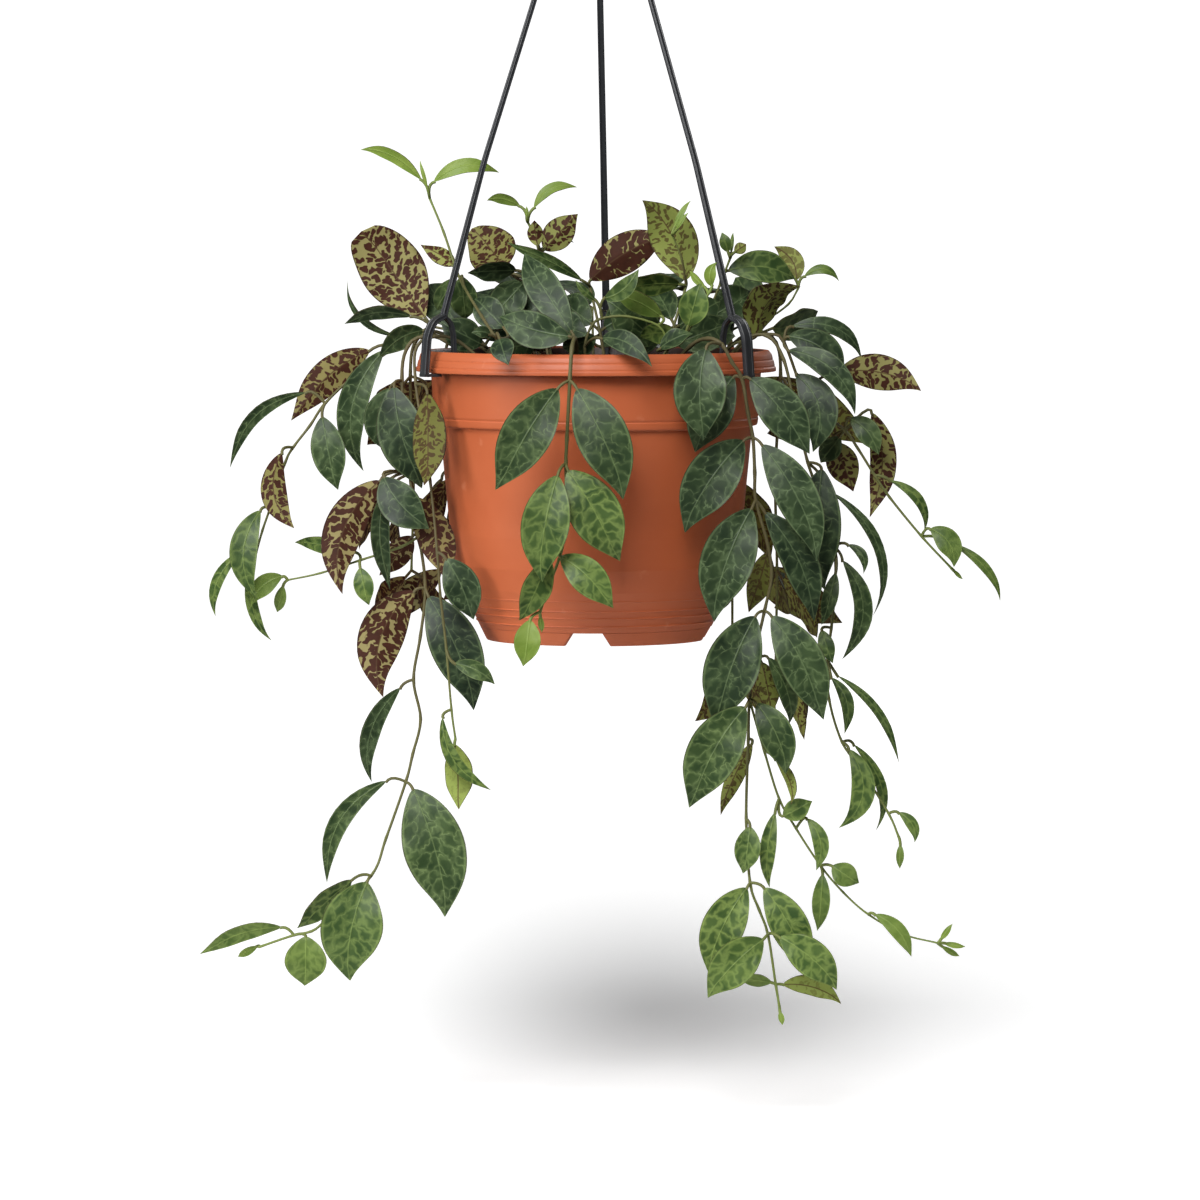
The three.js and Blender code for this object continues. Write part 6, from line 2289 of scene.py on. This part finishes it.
@dataclass
class Soil:
    """The potting mix: a bumpy top, a little higher in the middle, with crumbs on it. The
    crumbs' least and greatest sizes are their half lengths, half widths and half heights."""

    mix: PottingMix = PottingMix()
    radius: float = 79.2
    rings: int = 44
    sectors: int = 120
    crown: float = 1.5
    bumps: float = 0.7
    fade: float = 6.0
    crumbs: int = 420
    crumb_reach: float = 76.0
    crumb_least: Triple = (0.5, 0.4, 0.3)
    crumb_most: Triple = (2.2, 1.4, 0.9)
    crumb_lift: float = 0.3
    seed: int = 11

    def relief(self, x: Array, y: Array) -> Array:
        """The top's bumps: a sum of 14 sine waves, each finer, lower and further turned.

        Args:
            x: Places along X.
            y: Places along Y.

        Returns:
            Heights between about -1 and 1.
        """
        total = np.zeros_like(x)
        for wave in range(1, 15):
            angle = 2.4 * wave
            pitch = 26.0 / wave ** 0.8
            phase = 1.7 * wave
            run = x * math.cos(angle) + y * math.sin(angle)
            total += np.sin(2.0 * np.pi * run / pitch + phase) / wave ** 0.6
        return total / 3.0

    def level(self, radius: float | Array) -> float | Array:
        """The height of the even top at a radius."""
        return SOIL_TOP + self.crown * (1.0 - radius / self.radius)

    def body(self, skin: Skin) -> None:
        """Adds the soil's body, with its bumpy top.

        Args:
            skin: The mesh that it is added to.
        """
        radii = np.linspace(NEAR_AXIS, self.radius, self.rings)
        top = np.stack([radii, self.level(radii)], axis=1)
        side = np.array([(75.6, -38.0), (70.4, -91.0), (68.0, -106.0), (64.6, -116.8),
                         (58.3, -131.3), (56.6, SOIL_BOTTOM), (NEAR_AXIS, SOIL_BOTTOM)])
        lathe(skin, np.vstack([top, side]), self.sectors)
        points = skin.points[0]
        off_edge = self.radius - np.hypot(points[:, 0], points[:, 1])
        lift = self.relief(points[:, 0], points[:, 1]) * np.clip(off_edge / self.fade, 0.0, 1.0)
        points[:, 2] += np.where(points[:, 2] > SOIL_TOP - 0.5, self.bumps * lift, 0.0)

    def crumb(self, skin: Skin, random: np.random.Generator) -> None:
        """Adds a crumb: a box with drawn corners, size, turn and place.

        Args:
            skin: The mesh that it is added to.
            random: The draws.
        """
        radius = self.crumb_reach * math.sqrt(random.random())
        angle = random.random() * 2.0 * np.pi
        size = random.uniform(self.crumb_least, self.crumb_most)
        spin = random.random() * np.pi
        turned = BOX_CORNERS * size * random.uniform(0.75, 1.1, (8, 3))
        x = turned[:, 0] * math.cos(spin) - turned[:, 1] * math.sin(spin)
        y = turned[:, 0] * math.sin(spin) + turned[:, 1] * math.cos(spin)
        centre = np.array([radius * math.cos(angle), radius * math.sin(angle),
                           self.level(radius) + self.crumb_lift])
        skin.add(centre + np.stack([x, y, turned[:, 2]], axis=1), BOX_FACES)

    def build(self) -> bpy.types.Object:
        """Builds the soil.

        Returns:
            The piece.
        """
        skin = Skin()
        random = np.random.default_rng(self.seed)
        self.body(skin)
        for _ in range(self.crumbs):
            self.crumb(skin, random)
        return skin.build("Soil", [self.mix.make()], sharp=40.0)


@dataclass(frozen=True)
class Lamp:
    """A soft rectangular white light.

    Args:
        name: Its name.
        place: Where it stands, in metres in the row frame.
        size: Its width and height.
        power: Its power in watts.
        aim: What it points at.
    """

    name: str
    place: Triple
    size: Pair
    power: float
    aim: Triple = (0.0, 0.0, -0.4)

    def light(self) -> None:
        """Adds the light to the scene."""
        data = bpy.data.lights.new(self.name, "AREA")
        data.shape = "RECTANGLE"
        data.size, data.size_y = self.size
        data.energy = self.power
        lamp = bpy.data.objects.new(self.name, data)
        bpy.context.scene.collection.objects.link(lamp)
        lamp.location = self.place
        lamp.rotation_euler = facing(self.place, self.aim)


def facing(start: Triple, aim: Triple) -> Triple:
    """The turn that points something's -Z axis at an aim.

    Args:
        start: Where it is.
        aim: What it points at.

    Returns:
        Its Euler angles.
    """
    run = np.array(aim) - np.array(start)
    level = math.hypot(run[0], run[1])
    return math.atan2(level, -run[2]), 0.0, math.atan2(-run[0], run[1])


@dataclass(frozen=True)
class GlowingWhitePaint:
    """The studio's white paint, with painted light and a painted shadow. It glows though it is no
    lamp, least at the painted shadow under the object and the more, the further it is from it,
    which makes up for the fall-off of the lamps and washes out their shadows away from it. The
    shade's width is its extent along X over that along Y, and its place and reaches are in metres."""

    shade: Pair = (0.03, 0.35)
    shade_width: float = 0.26
    shade_reach: float = 0.66
    glow: float = 0.3
    far_glow: float = 0.62
    far_reach: float = 2.4
    paint: Tint = (0.9, 0.9, 0.9, 1.0)

    def make(self) -> bpy.types.Material:
        """Makes the material.

        Returns:
            The material.
        """
        shader = Shader("White paint", roughness=0.9, specular=0.1)
        x, y, _ = shader.parts(shader.object_place())
        # Painted shadow: the glow, a painted light, is least at the shade's place and rises with
        # the distance from it
        x = (x - self.shade[0]) / self.shade_width
        y = y - self.shade[1]
        away = shader.math("SQRT", x * x + y * y)
        far = shader.math("MINIMUM", away / self.far_reach, 1.0)
        glow = self.glow * shader.smooth(away, 0.0, self.shade_reach) + self.far_glow * far
        shader.connect(shader.mix(glow, BLACK, WHITE), shader.surface.inputs["Emission Color"])
        shader.surface.inputs["Emission Strength"].default_value = 1.0
        return shader.finish(colour=self.paint)


@dataclass
class Studio:
    """The camera, the white floor with the round wall that it bends up into, and the light.
    Its sizes are in metres in the row frame, but for the lens, which is in millimetres."""

    paint: GlowingWhitePaint = GlowingWhitePaint()
    floor: float = -HANG_HEIGHT * MILLIMETRE - 0.38
    hole: float = 0.00001
    near: float = 0.4
    flat: float = 2.0
    wall: float = 5.0
    bend: float = 1.4
    bend_steps: int = 24
    wall_height: float = 4.0
    sides: int = 128
    camera_place: Triple = (0.002, -3.0, -0.2292)
    aim_height: float = -0.4332
    lens: float = 180.0
    lamps: tuple[Lamp, ...] = (
        Lamp("Key", (-0.55, -1.8, 1.1), (1.4, 1.3), 66.0),
        Lamp("Left", (-2.0, -1.2, 0.2), (0.9, 0.9), 26.0),
        Lamp("Back", (1.3, 2.4, 0.7), (1.4, 1.2), 16.0),
    )
    world: float = 0.12

    def camera(self) -> None:
        """Adds the camera of the photograph."""
        data = bpy.data.cameras.new("Camera")
        data.lens = self.lens
        data.sensor_width = 36.0
        data.clip_end = 50.0
        camera = bpy.data.objects.new("Camera", data)
        bpy.context.scene.collection.objects.link(camera)
        camera.location = self.camera_place
        aim = (self.camera_place[0], 0.0, self.aim_height)
        camera.rotation_euler = facing(self.camera_place, aim)
        bpy.context.scene.camera = camera

    def turned(self, name: str, profile: Sequence[Pair]) -> bpy.types.Object:
        """Adds a surface of revolution round the object's axis.

        Args:
            name: The surface's name.
            profile: Points of [radius, height] in metres.

        Returns:
            The surface.
        """
        angles = np.arange(self.sides) * 2.0 * np.pi / self.sides
        line = np.array(profile)
        points = np.empty((len(line), self.sides, 3))
        points[:, :, 0] = line[:, :1] * np.cos(angles)
        points[:, :, 1] = line[:, :1] * np.sin(angles)
        points[:, :, 2] = line[:, 1:]
        faces = grid_faces(len(line), self.sides, closed=True)
        mesh = bpy.data.meshes.new(name)
        mesh.from_pydata(points.reshape(-1, 3), [], faces.tolist())
        mesh.shade_smooth()
        surface = bpy.data.objects.new(name, mesh)
        bpy.context.scene.collection.objects.link(surface)
        surface.visible_glossy = False
        return surface

    def surroundings(self) -> list[bpy.types.Object]:
        """Adds the near floor, with a hole too small to see in its middle, and the far one
        with its wall, which sheds no light on the object.

        Returns:
            The two surfaces.
        """
        turns = np.linspace(0.0, np.pi / 2.0, self.bend_steps)
        profile = [(self.near, self.floor), (self.flat, self.floor)]
        profile += [(self.wall - self.bend + self.bend * math.sin(turn),
                     self.floor + self.bend * (1 - math.cos(turn))) for turn in turns]
        profile.append((self.wall, self.floor + self.wall_height))
        floor = self.turned("Floor", [(self.hole, self.floor), (self.near, self.floor)])
        wall = self.turned("Backdrop", profile)
        wall.visible_diffuse = False
        paint = self.paint.make()
        for surface in (floor, wall):
            surface.data.materials.append(paint)
        return [floor, wall]

    def light(self) -> None:
        """Adds the lamps and the even light all round."""
        for lamp in self.lamps:
            lamp.light()
        world = bpy.data.worlds.new("World")
        world.use_nodes = True
        background = world.node_tree.nodes["Background"]
        background.inputs["Color"].default_value = WHITE
        background.inputs["Strength"].default_value = self.world
        bpy.context.scene.world = world


def show(piece: bpy.types.Object, node: str) -> None:
    """Puts a piece in a CAD node's place.

    Args:
        piece: The piece.
        node: The CAD node.
    """
    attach(piece, "root")
    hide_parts(node)


def main() -> None:
    """Builds the object's looks and the studio round it."""
    logging.basicConfig(level=logging.INFO, format="%(message)s", stream=sys.stdout)
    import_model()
    show(Pot().build(), "pot")
    show(Hanger().build(), "hanger")
    show(Soil().build(), "soil")
    stems = Grower().grow()
    vine = Vine()
    for first in stems:
        if not first.joins:
            piece = vine.build([first] + branches_of(first, stems))
            show(piece, first.name)
    studio = Studio()
    for surface in studio.surroundings():
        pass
    studio.camera()
    studio.light()
    bpy.context.scene.view_settings.view_transform = "Standard"


if __name__ == "__main__":
    main()
